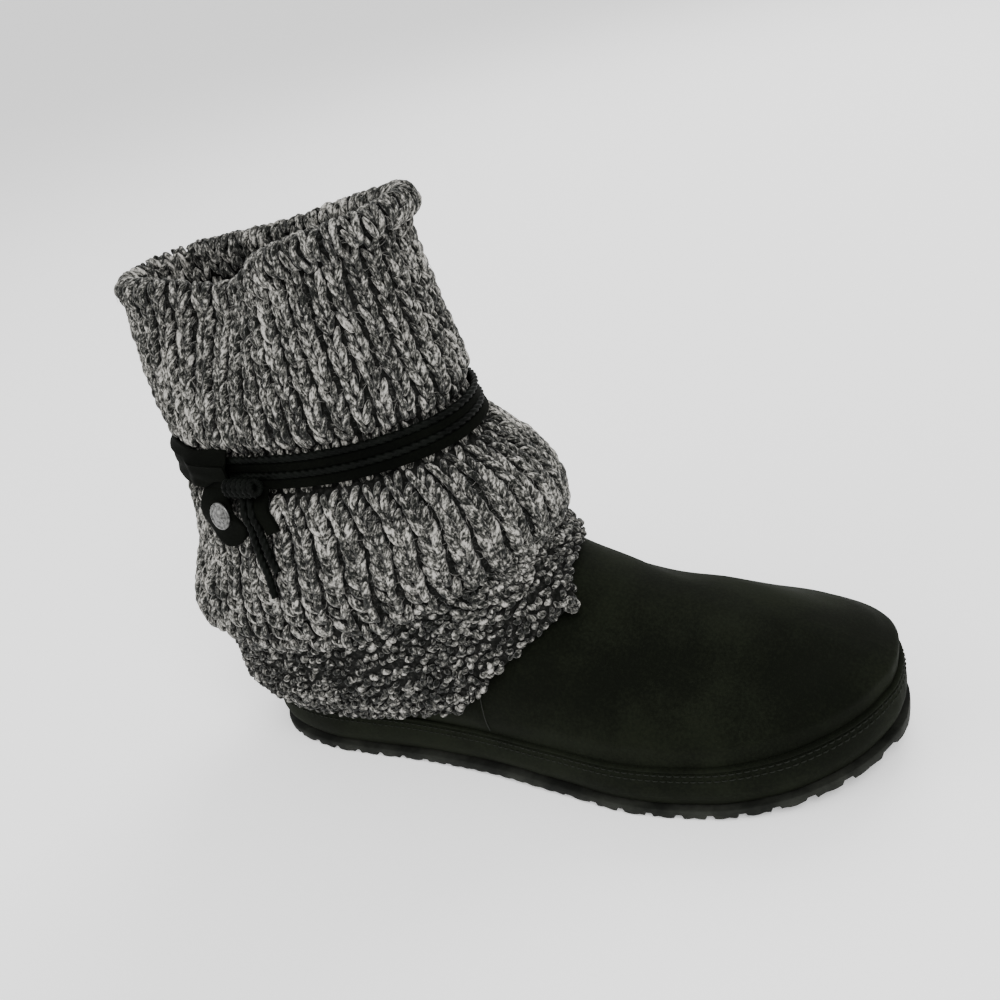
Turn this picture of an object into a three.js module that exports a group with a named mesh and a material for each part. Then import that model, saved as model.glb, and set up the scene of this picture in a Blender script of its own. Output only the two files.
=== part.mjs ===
// A right mukluk boot: black suede foot on a wrapped platform sole, with a slouched rib-knit shaft that is
// tied round the ankle by a twisted cord and a suede lace. Millimetres, +X to the toe, +Y to the wearer's
// left (the inner side of a right foot), +Z up. The origin is on the ground, under the middle of the heel.
import * as THREE from 'three';

// Sole
const soleLength = 262;
const ballWidth = 98;
const outsoleThickness = 4;
const outsoleLip = 0.9;
const lugDepth = 1.6;
const lugPitch = 11;
const lugLength = 7.4;
const lugDraft = 0.6;
const soleEdgeRound = 1.2;
const toeSpring = 9;
const archRise = 5;
const lateralArchRise = 1;
const platformHeight = 21.5;
const soleGap = 0.5;
const bandTuck = 2.4;
const bandBulge = 0.8;
const bandEdgeRound = 1.8;
const heelCentre = 44;

// Suede foot
const upperWall = 2;
const collarHeight = 92;
const quarterStep = 0.7;
const seamStation = 0.455;
const insoleThickness = 3;
const pieceGap = 0.3;

// Knit shaft
const shaftHeight = 217;
const shaftLength = 126;
const shaftWidth = 80;
const legAxis = 63;
const knitWall = 4;
const rimWall = 7;
const ribCount = 42;
const ribDepth = 1.5;
const hemWall = 3;
const hemClearance = 0.5;

// Tie
const cordDiameter = 3;
const laceWidth = 4;
const laceThickness = 2;
const strandGap = 0.3;
const tieLevel = 117;
const tabWidth = 22;
const tabNeck = 15;
const tabThickness = 1.8;
const tabAround = 0.174;
const studDiameter = 11.5;
const studHeight = 2.4;
const studAround = 0.184;
const knotLength = 16;
const knotDiameter = 7.5;
const knotAround = 0.222;

const seamHeight = platformHeight + pieceGap;

const SUEDE = { color: 0x0d0e0d, roughness: 0.95, metalness: 0 };
const RUBBER = { color: 0x1c1d1c, roughness: 0.7, metalness: 0 };
const LINING = { color: 0x2a2a2b, roughness: 0.95, metalness: 0 };
const KNIT = { color: 0x6f6f70, roughness: 1, metalness: 0 };
const CORD = { color: 0x121413, roughness: 0.8, metalness: 0 };
const METAL = { color: 0x9c9ca0, roughness: 0.4, metalness: 1 };

// A smooth curve through the rows of a table that never overshoots between them.
function curveThrough(stations, values) {
  const last = stations.length - 1;
  const step = stations.slice(1).map((s, i) => s - stations[i]);
  const slope = step.map((h, i) => (values[i + 1] - values[i]) / h);
  const tangent = values.map((_, i) => {
    if (i === 0) return slope[0];
    if (i === last) return slope[last - 1];
    if (slope[i - 1] * slope[i] <= 0) return 0;
    const before = 2 * step[i] + step[i - 1];
    const after = step[i] + 2 * step[i - 1];
    return (before + after) / (before / slope[i - 1] + after / slope[i]);
  });
  return (s) => {
    let i = 0;
    while (i < last - 1 && s > stations[i + 1]) i += 1;
    const t = Math.min(1, Math.max(0, (s - stations[i]) / step[i]));
    const a = (1 + 2 * t) * (1 - t) ** 2;
    const b = t * (1 - t) ** 2;
    const c = t * t * (3 - 2 * t);
    const d = t * t * (t - 1);
    return a * values[i] + b * step[i] * tangent[i] + c * values[i + 1] + d * step[i] * tangent[i + 1];
  };
}

// Rows of values as rows with named columns.
function table(names, ...rows) {
  return rows.map((row) => Object.fromEntries(names.map((name, i) => [name, row[i]])));
}

// Turns a table of rows with named columns into one curve for each column, against the column `by`.
function tableCurves(rows, by) {
  const stations = rows.map((row) => row[by]);
  const names = Object.keys(rows[0]).filter((name) => name !== by);
  return Object.fromEntries(names.map((name) => {
    return [name, curveThrough(stations, rows.map((row) => row[name]))];
  }));
}

const smooth = (from, to, s) => THREE.MathUtils.smoothstep(s, from, to);
const bell = (distance, width) => Math.exp(-((distance / width) ** 2));

// The closed body of a list of rings that all have as many points. The first and last ring are joined to each
// other when `hollow` is true, as in a tube with an open bore, and otherwise each is closed by a flat ladder.
function skin(rings, hollow) {
  const around = rings[0].length;
  const index = [];
  const quad = (a, b, c, d) => index.push(a, b, c, a, c, d);
  const spans = hollow ? rings.length : rings.length - 1;
  for (let k = 0; k < spans; k += 1) {
    const low = k * around;
    const high = ((k + 1) % rings.length) * around;
    for (let j = 0; j < around; j += 1) {
      const next = (j + 1) % around;
      quad(low + j, low + next, high + next, high + j);
    }
  }
  if (!hollow) {
    const top = (rings.length - 1) * around;
    for (let j = 0; j < around / 2 - 1; j += 1) {
      const near = [j, j + 1];
      const far = [around - 1 - j, around - 2 - j];
      const pair = [near[0], far[0], far[1], near[1]];
      quad(...pair);
      quad(...[...pair].reverse().map((i) => i + top));
    }
  }
  return outward(rings.flat(), index);
}

// A geometry from points and triangles, with its faces turned outwards and zero-area triangles left out.
function outward(points, index) {
  const kept = [];
  let volume = 0;
  for (let i = 0; i < index.length; i += 3) {
    const [a, b, c] = [index[i], index[i + 1], index[i + 2]].map((n) => points[n]);
    const cross = new THREE.Vector3().subVectors(b, a).cross(new THREE.Vector3().subVectors(c, a));
    if (cross.length() > 1e-7) kept.push(index[i], index[i + 1], index[i + 2]);
    volume += a.dot(new THREE.Vector3().crossVectors(b, c));
  }
  if (volume < 0) kept.reverse();
  const geometry = new THREE.BufferGeometry();
  geometry.setAttribute('position', new THREE.Float32BufferAttribute(points.flatMap((p) => p.toArray()), 3));
  geometry.setIndex(kept);
  return geometry;
}

function piece(name, geometry, look) {
  const part = new THREE.Mesh(geometry, new THREE.MeshStandardMaterial(look));
  part.name = name;
  return part;
}

// Half widths of the sole, as shares of the ball's width, against the share of the sole's length.
const soleOutline = tableCurves([
  { along: 0.0, lateral: 0.0, medial: 0.0 },
  { along: 0.0025, lateral: 0.066, medial: 0.066 },
  { along: 0.01, lateral: 0.133, medial: 0.133 },
  { along: 0.035, lateral: 0.225, medial: 0.225 },
  { along: 0.08, lateral: 0.296, medial: 0.296 },
  { along: 0.17, lateral: 0.347, medial: 0.347 },
  { along: 0.3, lateral: 0.357, medial: 0.316 },
  { along: 0.42, lateral: 0.388, medial: 0.286 },
  { along: 0.55, lateral: 0.449, medial: 0.347 },
  { along: 0.68, lateral: 0.5, medial: 0.469 },
  { along: 0.78, lateral: 0.48, medial: 0.51 },
  { along: 0.87, lateral: 0.408, medial: 0.469 },
  { along: 0.93, lateral: 0.306, medial: 0.388 },
  { along: 0.97, lateral: 0.194, medial: 0.286 },
  { along: 0.992, lateral: 0.082, medial: 0.173 },
  { along: 0.998, lateral: 0.033, medial: 0.094 },
  { along: 1.0, lateral: -0.03, medial: 0.03 },
], 'along');

const springFrom = 0.72;
const spring = (along) => toeSpring * Math.max(0, (along - springFrom) / (1 - springFrom)) ** 2;
const archShape = curveThrough([0, 0.24, 0.36, 0.46, 0.56, 0.65, 1], [0, 0, 0.6, 1, 0.6, 0, 0]);

// Sideways place on the sole: +1 is the medial edge and -1 the lateral edge.
function soleY(along, side) {
  const half = side < 0 ? soleOutline.lateral : soleOutline.medial;
  return side * half(along) * ballWidth;
}

// How far the waist of the sole is arched off the ground, which is most at the medial edge.
function archLift(along, y) {
  const width = soleY(along, 1) - soleY(along, -1);
  const across = width > 0 ? THREE.MathUtils.clamp((y - soleY(along, -1)) / width, 0, 1) : 0;
  return archShape(along) * THREE.MathUtils.lerp(lateralArchRise, archRise, across);
}

const soleStations = 40;
const lastStations = 24;

// The stations along one side, closer together at the heel and the toe, and then back along the other side.
function aroundSole(stations, make) {
  const ring = [];
  for (let i = 0; i <= stations; i += 1) ring.push(make((1 - Math.cos((Math.PI * i) / stations)) / 2, -1));
  for (let i = stations; i >= 0; i -= 1) ring.push(make((1 - Math.cos((Math.PI * i) / stations)) / 2, 1));
  return ring;
}

// The sole's outline at a height, moved out (or in, when negative) from the true outline.
function soleRing(height, out, followsArch, stations = soleStations) {
  return aroundSole(stations, (along, side) => {
    const step = 0.004;
    const before = Math.max(0, along - step);
    const after = Math.min(1, along + step);
    const run = (after - before) * soleLength;
    const rise = soleY(after, side) - soleY(before, side);
    const length = Math.hypot(run, rise);
    const x = along * soleLength + (out * -side * rise) / length;
    const y = soleY(along, side) + (out * side * run) / length;
    const share = THREE.MathUtils.clamp(x / soleLength, 0, 1);
    return new THREE.Vector3(x, y, height + spring(share) + followsArch * archLift(share, y));
  });
}

// The outsole is a plate with cross lugs, drawn as a section at each station along it.
function outsole() {
  const ends = [0, 0.6, 2, 4.5, 8];
  const edges = ends.flatMap((x) => [x - outsoleLip, soleLength + outsoleLip - x]);
  const firstLug = -Math.floor(heelCentre / lugPitch);
  const lastLug = Math.floor((soleLength - heelCentre) / lugPitch);
  for (let k = firstLug; k <= lastLug; k += 1) {
    const centre = heelCentre + k * lugPitch;
    const half = lugLength / 2;
    edges.push(centre - half - lugDraft, centre - half, centre + half, centre + half + lugDraft);
  }
  const inside = (x) => x >= -outsoleLip && x <= soleLength + outsoleLip;
  const stations = [...new Set(edges)].filter(inside).sort((a, b) => a - b);
  const rings = stations.map((x) => {
    const along = (x + outsoleLip) / (soleLength + 2 * outsoleLip);
    const share = THREE.MathUtils.clamp(x / soleLength, 0, 1);
    const fromLug = Math.abs(x - heelCentre - Math.round((x - heelCentre) / lugPitch) * lugPitch);
    const groove = smooth(lugLength / 2, lugLength / 2 + lugDraft, fromLug) * (1 - archShape(share));
    const under = lugDepth * groove;
    const corner = (side, height, inset) => {
      const half = side * soleY(along, side) + outsoleLip;
      const y = side * Math.max(half - inset, 0);
      return new THREE.Vector3(x, y, height + spring(share) + archLift(share, y));
    };
    return [
      corner(-1, under, soleEdgeRound), corner(-1, under + soleEdgeRound, 0), corner(-1, outsoleThickness, 0),
      corner(1, outsoleThickness, 0), corner(1, under + soleEdgeRound, 0), corner(1, under, soleEdgeRound),
    ];
  });
  return piece('outsole', skin(rings, false), RUBBER);
}

// The platform with its suede wrap: tucked in at the foot, full at mid height, rounded over at the seam.
function midsole() {
  const foot = outsoleThickness + soleGap;
  const tall = platformHeight - foot;
  const rings = [
    soleRing(foot, -bandTuck, 1),
    soleRing(foot + 0.16 * tall, -0.3 * bandTuck, 0.85),
    soleRing(foot + 0.42 * tall, bandBulge, 0.5),
    soleRing(foot + 0.72 * tall, bandBulge * 0.8, 0.2),
    soleRing(platformHeight - 0.35 * bandEdgeRound, 0, 0),
    soleRing(platformHeight, -bandEdgeRound, 0),
  ];
  return piece('midsole', skin(rings, false), SUEDE);
}

// Level rings of the last, from the seam to the collar. Lengths are shares of the sole's length, heights are
// shares of the rise from the seam to the collar, and heel and fore are shares of the sole's outline there.
const lastRings = tableCurves(table(
  ['ring', 'back', 'front', 'backZ', 'sideZ', 'frontZ', 'heel', 'fore', 'round', 'springs'],
  [0, 0.005, 0.995, 0, 0, 0, 0.975, 0.975, 0, 1],
  [1, -0.004, 0.998, 0.117, 0.11, 0.09, 1.005, 0.97, 0, 1],
  [2, -0.01, 0.98, 0.26, 0.224, 0.2, 0.985, 0.86, 0, 0.7],
  [3, -0.011, 0.93, 0.4, 0.345, 0.315, 0.925, 0.71, 0.05, 0.5],
  [4, -0.006, 0.865, 0.544, 0.473, 0.445, 0.83, 0.56, 0.15, 0.3],
  [5, 0.003, 0.75, 0.672, 0.6, 0.555, 0.75, 0.45, 0.35, 0.1],
  [6, 0.011, 0.641, 0.786, 0.73, 0.67, 0.71, 0.47, 0.6, 0],
  [7, 0.018, 0.561, 0.9, 0.872, 0.82, 0.7, 0.6, 0.8, 0],
  [8, 0.024, 0.504, 1, 0.986, 1, 0.7, 0.7, 1, 0],
), 'ring');
const collarRing = 8;

// A point of the suede foot's outer face: `along` runs from the heel (0) to the toe (1) on one side.
function footPoint(along, side, ring) {
  const back = lastRings.back(ring);
  const front = lastRings.front(ring);
  const x = (back + (front - back) * along) * soleLength;
  const oval = side * Math.sqrt(Math.max(0, 4 * along * (1 - along))) * 0.5 * ballWidth;
  const fore = smooth(0.38, 0.72, x / soleLength);
  const width = THREE.MathUtils.lerp(lastRings.heel(ring), lastRings.fore(ring), fore);
  const y = width * THREE.MathUtils.lerp(soleY(along, side), oval, lastRings.round(ring));
  const heights = [lastRings.backZ(ring), lastRings.sideZ(ring), lastRings.frontZ(ring)];
  const share = curveThrough([0, 0.5, 1], heights)(along);
  const springs = spring(Math.min(1, x / soleLength)) * lastRings.springs(ring);
  return new THREE.Vector3(x, y, seamHeight + share * (collarHeight - seamHeight) + springs);
}

// The outward normal of the suede foot's outer face.
function footNormal(along, side, ring) {
  const step = 0.01;
  const inside = THREE.MathUtils.clamp(along, 0.004, 0.996);
  const low = Math.max(0, ring - step);
  const high = Math.min(collarRing, ring + step);
  const ahead = footPoint(inside + step * 0.3, side, ring).sub(footPoint(inside - step * 0.3, side, ring));
  const upward = footPoint(inside, side, high).sub(footPoint(inside, side, low));
  const normal = ahead.cross(upward).normalize();
  if (side < 0) return inside === along ? normal : levelEnd(normal);
  normal.negate();
  return inside === along ? normal : levelEnd(normal);
}

// At the middle of the heel and of the toe both sides share one normal, which has no sideways part.
function levelEnd(normal) {
  return normal.setY(0).normalize();
}

// The suede foot: a wall through the last's rings, a step thicker behind the side seam, where the quarter
// laps the vamp, open underneath and at the collar.
function upper() {
  const lap = 0.012;
  const faces = (levels, depth, step) => levels.map((ring) => aroundSole(lastStations, (along, side) => {
    const back = lastRings.back(ring);
    const x = back + (lastRings.front(ring) - back) * along;
    const behind = 1 - smooth(seamStation - lap / 2, seamStation + lap / 2, x);
    const out = step * behind * smooth(0, 1, ring) * (1 - smooth(4, 6, ring));
    return footPoint(along, side, ring).addScaledVector(footNormal(along, side, ring), out - depth);
  }));
  const outer = faces([0, 0.5, 1, 2, 3, 4, 5, 6, 7, collarRing], 0, quarterStep);
  const inner = faces([collarRing, 6, 4.5, 3, 1.5, 0], upperWall, 0);
  inner[inner.length - 1].forEach((point, j) => point.setZ(outer[0][j].z));
  return piece('upper', skin(shareEnds([...outer, ...inner]), true), SUEDE);
}

// Both sides meet at the heel and at the toe, so the ring keeps one of each pair of end points.
function shareEnds(rings) {
  return rings.map((ring) => ring.filter((_, j) => j !== lastStations + 1 && j !== ring.length - 1));
}

function insole() {
  const inset = upperWall + 3.4;
  const rings = [
    soleRing(seamHeight, -inset, 0, lastStations),
    soleRing(seamHeight + 0.75 * insoleThickness, -inset + 0.3, 0, lastStations),
    soleRing(seamHeight + insoleThickness, -inset - 1, 0, lastStations),
  ];
  return piece('insole', skin(rings, false), LINING);
}

// Sections of the knit shaft from the notch above the hem band to the rim. `level` is the way up the knit in
// millimetres of the real boot, centre and half are shares of the shaft's length, width is a share of half
// the shaft's width, and the heights are shares of the shaft's height.
const shaftSections = table(
  ['level', 'centre', 'half', 'width', 'backZ', 'sideZ', 'frontZ', 'full'],
  [36, 0.055, 0.625, 1.22, 0.24, 0.3, 0.43, 2.2],
  [47, 0.01, 0.67, 1.29, 0.3, 0.36, 0.465, 2.2],
  [60, 0.024, 0.638, 1.3, 0.37, 0.42, 0.5, 2.15],
  [78, 0.04, 0.59, 1.25, 0.45, 0.483, 0.53, 2.1],
  [95, 0.03, 0.548, 1.15, 0.52, 0.54, 0.56, 2.1],
  [104, 0.012, 0.522, 1.1, 0.558, 0.57, 0.582, 2.1],
  [110, 0, 0.492, 0.97, 0.586, 0.597, 0.606, 2.1],
  [117, -0.008, 0.48, 0.94, 0.614, 0.627, 0.634, 2.1],
  [124, -0.012, 0.479, 0.94, 0.641, 0.656, 0.662, 2.1],
  [131, -0.014, 0.492, 1.01, 0.672, 0.688, 0.697, 2.1],
  [155, -0.036, 0.49, 0.92, 0.76, 0.783, 0.802, 2.2],
  [176, -0.043, 0.483, 0.8, 0.838, 0.868, 0.9, 2.3],
  [187, -0.043, 0.48, 0.74, 0.878, 0.908, 0.945, 2.3],
  [195, -0.028, 0.505, 0.77, 0.91, 0.943, 0.978, 2.3],
  [199, -0.028, 0.5, 0.74, 0.923, 0.959, 0.994, 2.3],
  [202, -0.028, 0.482, 0.68, 0.93, 0.967, 1.0, 2.3],
);
const rimLevel = 202;

// Where the hem band lies on the suede foot: the last's ring that it follows from the heel to the instep, for
// the hem's edge and for the band's middle, how many rings higher it is on the medial side, and how far the
// band stands off the foot in millimetres.
const hemLine = tableCurves([
  { along: 0, edge: 0.55, middle: 1.6, medialRise: 0, off: 3.5 },
  { along: 0.2, edge: 0.3, middle: 1.6, medialRise: 0.3, off: 5 },
  { along: 0.42, edge: 1.4, middle: 3.0, medialRise: 0.7, off: 6 },
  { along: 0.505, edge: 2.8, middle: 4.2, medialRise: 0.6, off: 6 },
  { along: 0.61, edge: 4.1, middle: 5.2, medialRise: 0.6, off: 6 },
  { along: 0.78, edge: 5.2, middle: 6.1, medialRise: 0.6, off: 5.5 },
  { along: 0.9, edge: 5.8, middle: 6.7, medialRise: 0.6, off: 5 },
  { along: 1, edge: 6.75, middle: 7.4, medialRise: 0, off: 4 },
], 'along');

// Places where the slack knit caves in or lifts: around is the share of the way round from the back over the
// lateral side, and depth and drop are shares of the shaft's width and height.
const slackDents = [
  { around: 0.22, level: 200, wide: 0.068, tall: 42, depth: 0.17, drop: 0.052 },
  { around: 0.33, level: 70, wide: 0.05, tall: 13, depth: 0.03, drop: 0 },
  { around: 0.1, level: 75, wide: 0.04, tall: 12, depth: 0.03, drop: 0 },
  { around: 0.76, level: 200, wide: 0.12, tall: 50, depth: 0.09, drop: 0.01 },
];

const denseSteps = 120;

function hemLoop(column, off) {
  const side = (sign) => Array.from({ length: denseSteps }, (_, i) => {
    const turn = sign < 0 ? i / denseSteps : 1 - i / denseSteps;
    const along = (1 - Math.cos(Math.PI * turn)) / 2;
    const ring = Math.min(collarRing, hemLine[column](along) + (sign > 0 ? hemLine.medialRise(along) : 0));
    return footPoint(along, sign, ring).addScaledVector(footNormal(along, sign, ring), off(along));
  });
  return [...side(-1), ...side(1)];
}

function sectionLoop(section) {
  const heights = curveThrough([0, 0.5, 1], [section.backZ, section.sideZ, section.frontZ]);
  const power = 2 / section.full;
  return Array.from({ length: 2 * denseSteps }, (_, i) => {
    const angle = (Math.PI * i) / denseSteps;
    const fore = -Math.sign(Math.cos(angle)) * Math.abs(Math.cos(angle)) ** power;
    const aside = -Math.sign(Math.sin(angle)) * Math.abs(Math.sin(angle)) ** power;
    const x = legAxis + (section.centre + section.half * fore) * shaftLength;
    const z = heights((1 + fore) / 2) * shaftHeight;
    return new THREE.Vector3(x, (aside * section.width * shaftWidth) / 2, z);
  });
}

// A closed loop as a function of the share of its own length.
function byLength(loop) {
  const closed = [...loop, loop[0]];
  const sums = [0];
  for (let i = 1; i < closed.length; i += 1) sums.push(sums[i - 1] + closed[i].distanceTo(closed[i - 1]));
  const total = sums[sums.length - 1];
  return (share) => {
    const target = (((share % 1) + 1) % 1) * total;
    let low = 0;
    let high = sums.length - 1;
    while (high - low > 1) {
      const middle = (low + high) >> 1;
      if (sums[middle] <= target) low = middle;
      else high = middle;
    }
    const t = (target - sums[low]) / (sums[high] - sums[low]);
    return new THREE.Vector3().lerpVectors(closed[low], closed[high], t);
  };
}

const shaftRows = [
  { level: 0, at: byLength(hemLoop('edge', () => quarterStep + hemClearance + hemWall)) },
  { level: 18, at: byLength(hemLoop('middle', (along) => hemLine.off(along) + knitWall)) },
  ...shaftSections.map((section) => ({ level: section.level, at: byLength(sectionLoop(section)) })),
];
const shaftLevels = shaftRows.map((row) => row.level);

// The knit's outer face without its ribs, as curves up the knit at one place around it.
function shaftColumn(around) {
  const points = shaftRows.map((row) => row.at(around));
  const curves = ['x', 'y', 'z'].map((axis) => curveThrough(shaftLevels, points.map((p) => p[axis])));
  return (level) => {
    const point = new THREE.Vector3(...curves.map((curve) => curve(level)));
    for (const dent of slackDents) {
      const apart = around - dent.around - Math.round(around - dent.around);
      const strength = bell(apart, dent.wide) * bell(level - dent.level, dent.tall);
      point.y -= Math.sign(point.y || -1) * strength * dent.depth * shaftWidth;
      point.z -= strength * dent.drop * shaftHeight;
    }
    return point;
  };
}

function shaftNormal(around, level) {
  const aside = 0.004;
  const rise = 1.5;
  const low = Math.max(0, level - rise);
  const high = Math.min(rimLevel, level + rise);
  const across = shaftColumn(around + aside)(level).sub(shaftColumn(around - aside)(level));
  const column = shaftColumn(around);
  const upward = column(high).sub(column(low));
  return across.cross(upward).normalize();
}

// A point that lies `out` from the knit's outer face.
function overKnit(around, level, out) {
  return shaftColumn(around)(level).addScaledVector(shaftNormal(around, level), out);
}

// The knit shaft: one wall from the hem to the rim, with a raised rib for each column of stitches.
function knitShaft() {
  const columns = 2 * ribCount;
  const outerLevels = [0, 9, 18, 28, 36, 41, 48, 60, 76, 92, 104, 110, 117, 124, 132, 150, 170, 187, 199];
  const innerLevels = [187, 158, 126, 110, 88, 60, 40, 0];
  const wall = curveThrough([0, 12, 180, 187], [hemWall, knitWall, knitWall, rimWall]);
  const ribs = (level) => smooth(38, 46, level) * (1 - 0.5 * smooth(190, 199, level));
  const ring = (level, out) => Array.from({ length: columns }, (_, j) => {
    const ridge = j % 2 === 0 ? 0.5 : -0.5;
    return overKnit(j / columns, level, out(level, ridge));
  });
  const rings = [
    ...outerLevels.map((level) => ring(level, (at, ridge) => ridge * ribDepth * ribs(at))),
    ring(rimLevel, () => 0),
    ring(199, () => -rimWall),
    ...innerLevels.map((level) => ring(level, (at) => -wall(at))),
  ];
  return piece('knit_shaft', skin(rings, true), KNIT);
}

const strandSeat = ribDepth / 2 + 2 * pieceGap;

// A strand that goes once round the ankle on the ribs, `up` from the middle of the tie. Its section is a list
// of corners, out from the knit and up along it.
function tieStrand(name, up, corners, look) {
  const thickest = Math.max(...corners.map(([out]) => out));
  const rings = Array.from({ length: ribCount }, (_, rib) => corners.map(([out, high]) => {
    return overKnit(rib / ribCount, tieLevel + up + high, strandSeat + thickest + out);
  }));
  return piece(name, skin(rings, true), look);
}

function roundCorners(diameter, sides) {
  return Array.from({ length: sides }, (_, i) => {
    const angle = (2 * Math.PI * (i + 0.5)) / sides;
    return [(Math.cos(angle) * diameter) / 2, (Math.sin(angle) * diameter) / 2];
  });
}

function laceCorners(width, thickness) {
  const [out, high] = [thickness / 2, width / 2];
  return [[-out, -high], [out, -high], [out, high], [-out, high]];
}

// Strand order from the top: cord, lace, cord, lace.
const strandPitch = cordDiameter / 2 + strandGap + laceWidth / 2;
const tieHeight = 2 * (cordDiameter + laceWidth) + 3 * strandGap;
const topCordUp = tieHeight / 2 - cordDiameter / 2;

function tieStrands() {
  const cord = roundCorners(cordDiameter, 6);
  const lace = laceCorners(laceWidth, laceThickness);
  return [
    tieStrand('tie_cord_upper', topCordUp, cord, CORD),
    tieStrand('tie_lace_upper', topCordUp - strandPitch, lace, SUEDE),
    tieStrand('tie_cord_lower', topCordUp - 2 * strandPitch, cord, CORD),
    tieStrand('tie_lace_lower', topCordUp - 3 * strandPitch, lace, SUEDE),
  ];
}

const strandReach = strandSeat + cordDiameter;

// The suede keeper tab: it covers the strands, comes back to the knit below them and ends in a half round.
const tabTop = tieLevel + tieHeight / 2 + 1;
const tabCentre = 97;
const studLevel = 101.5;
const studGap = 0.8;

// The knit's length round the leg at a level.
function girthAt(level) {
  const steps = 48;
  const loop = Array.from({ length: steps }, (_, i) => shaftColumn(i / steps)(level));
  return loop.reduce((sum, point, i) => sum + point.distanceTo(loop[(i + 1) % steps]), 0);
}

// How far the tab's back lies off the knit: over the strands, and then down on the ribs.
function tabSeat(level) {
  const low = tieLevel - tieHeight / 2;
  const onRibs = ribDepth / 2 + pieceGap;
  return THREE.MathUtils.lerp(onRibs, strandReach + 3 * pieceGap, smooth(low - 20, low - 1, level));
}

function tabHalf(level) {
  const half = tabWidth / 2;
  if (level < tabCentre) return Math.sqrt(Math.max(0, half ** 2 - (tabCentre - level) ** 2));
  return THREE.MathUtils.lerp(half, tabNeck / 2, smooth(tabCentre, tabCentre + half, level));
}

function keeperTab() {
  const rows = 14;
  const across = 5;
  const girth = girthAt(tabCentre);
  const lowest = tabCentre - 0.97 * (tabWidth / 2);
  const rings = [];
  for (let i = 0; i <= rows; i += 1) {
    const level = tabTop + ((lowest - tabTop) * i) / rows;
    const edge = (depth) => Array.from({ length: across }, (_, j) => {
      const around = tabAround + ((2 * j) / (across - 1) - 1) * (tabHalf(level) / girth);
      return overKnit(around, level, tabSeat(level) + depth);
    });
    rings.push([...edge(tabThickness), ...edge(0).reverse()]);
  }
  return piece('keeper_tab', skin(rings, false), SUEDE);
}

// A frame on what lies over the knit: +X runs round the leg, +Y up it and +Z outwards. `reach` gives how far
// the seat is off the knit at a level, and `lift` is the frame's own height over that seat.
function seatedFrame(around, level, reach, lift) {
  const aside = 0.008;
  const rise = 4;
  const seat = (turn, high) => overKnit(around + turn, level + high, reach(level + high));
  const across = seat(aside, 0).sub(seat(-aside, 0)).normalize();
  const upward = seat(0, rise).sub(seat(0, -rise));
  const outwards = across.clone().cross(upward).normalize();
  upward.crossVectors(outwards, across);
  const place = seat(0, 0).addScaledVector(outwards, lift);
  return new THREE.Matrix4().makeBasis(across, upward, outwards).setPosition(place);
}

function stud() {
  const radius = studDiameter / 2;
  const profile = [[0, 0], [radius - 0.5, 0], [radius, 0.35 * studHeight], [radius - 0.3, 0.62 * studHeight],
    [0.72 * radius, 0.86 * studHeight], [0.4 * radius, 0.97 * studHeight], [0, studHeight]];
  const lathe = new THREE.LatheGeometry(profile.map(([r, h]) => new THREE.Vector2(r, h)), 28);
  lathe.rotateX(Math.PI / 2);
  lathe.applyMatrix4(seatedFrame(studAround, studLevel, tabSeat, tabThickness + studGap));
  return piece('stud', lathe, METAL);
}

// The wrapped knot that draws the strands together: a short barrel along the tie, on its lowest strand.
const knotLevel = tieLevel - tieHeight / 2 + 1.5;

function knot() {
  const radius = knotDiameter / 2;
  const half = knotLength / 2;
  const profile = [[0, -half], [0.7 * radius, -0.92 * half], [radius, -0.6 * half], [0.9 * radius, 0],
    [radius, 0.6 * half], [0.7 * radius, 0.92 * half], [0, half]];
  const lathe = new THREE.LatheGeometry(profile.map(([r, h]) => new THREE.Vector2(r, h)), 16);
  lathe.rotateZ(Math.PI / 2);
  lathe.applyMatrix4(seatedFrame(knotAround, knotLevel, () => strandReach, knotDiameter / 2 + pieceGap));
  return piece('tie_knot', lathe, CORD);
}

// The free ends below the knot. Each route is chosen by hand, in millimetres from the knot: how far down the
// knit, how far aside of the knot's middle and how far off the knit.
const cordTailLong = [
  { down: 0, aside: -4, off: 3.7 },
  { down: 6, aside: -4, off: 3.7 },
  { down: 14, aside: -3.6, off: 3.2 },
  { down: 24, aside: -2.2, off: 3 },
  { down: 34, aside: 0, off: 2.9 },
  { down: 44, aside: 2, off: 2.9 },
];
const cordTailShort = [
  { down: 0, aside: -0.2, off: 3.7 },
  { down: 6, aside: -0.2, off: 3.7 },
  { down: 14, aside: 0.3, off: 3.2 },
  { down: 21, aside: 1.6, off: 3 },
  { down: 32, aside: 4.4, off: 2.9 },
];
const laceTail = [
  { down: 0, aside: 4, off: 3 },
  { down: 4, aside: 4.1, off: 2.8 },
  { down: 8, aside: 4.6, off: 2.5 },
  { down: 14, aside: 5.4, off: 2.4 },
];

// A free end that lies on the knit along its route.
function tail(name, route, corners, look) {
  const start = knotLevel - knotDiameter / 2 - 2 * pieceGap;
  const length = route[route.length - 1].down;
  const path = tableCurves(route, 'down');
  const girth = girthAt(start - length / 2);
  const steps = Math.ceil(length / 4);
  const rings = Array.from({ length: steps + 1 }, (_, i) => {
    const down = (length * i) / steps;
    return corners.map(([out, across]) => {
      const around = knotAround + (path.aside(down) + across) / girth;
      return overKnit(around, start - down, path.off(down) + out);
    });
  });
  return piece(name, skin(rings, false), look);
}

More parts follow.
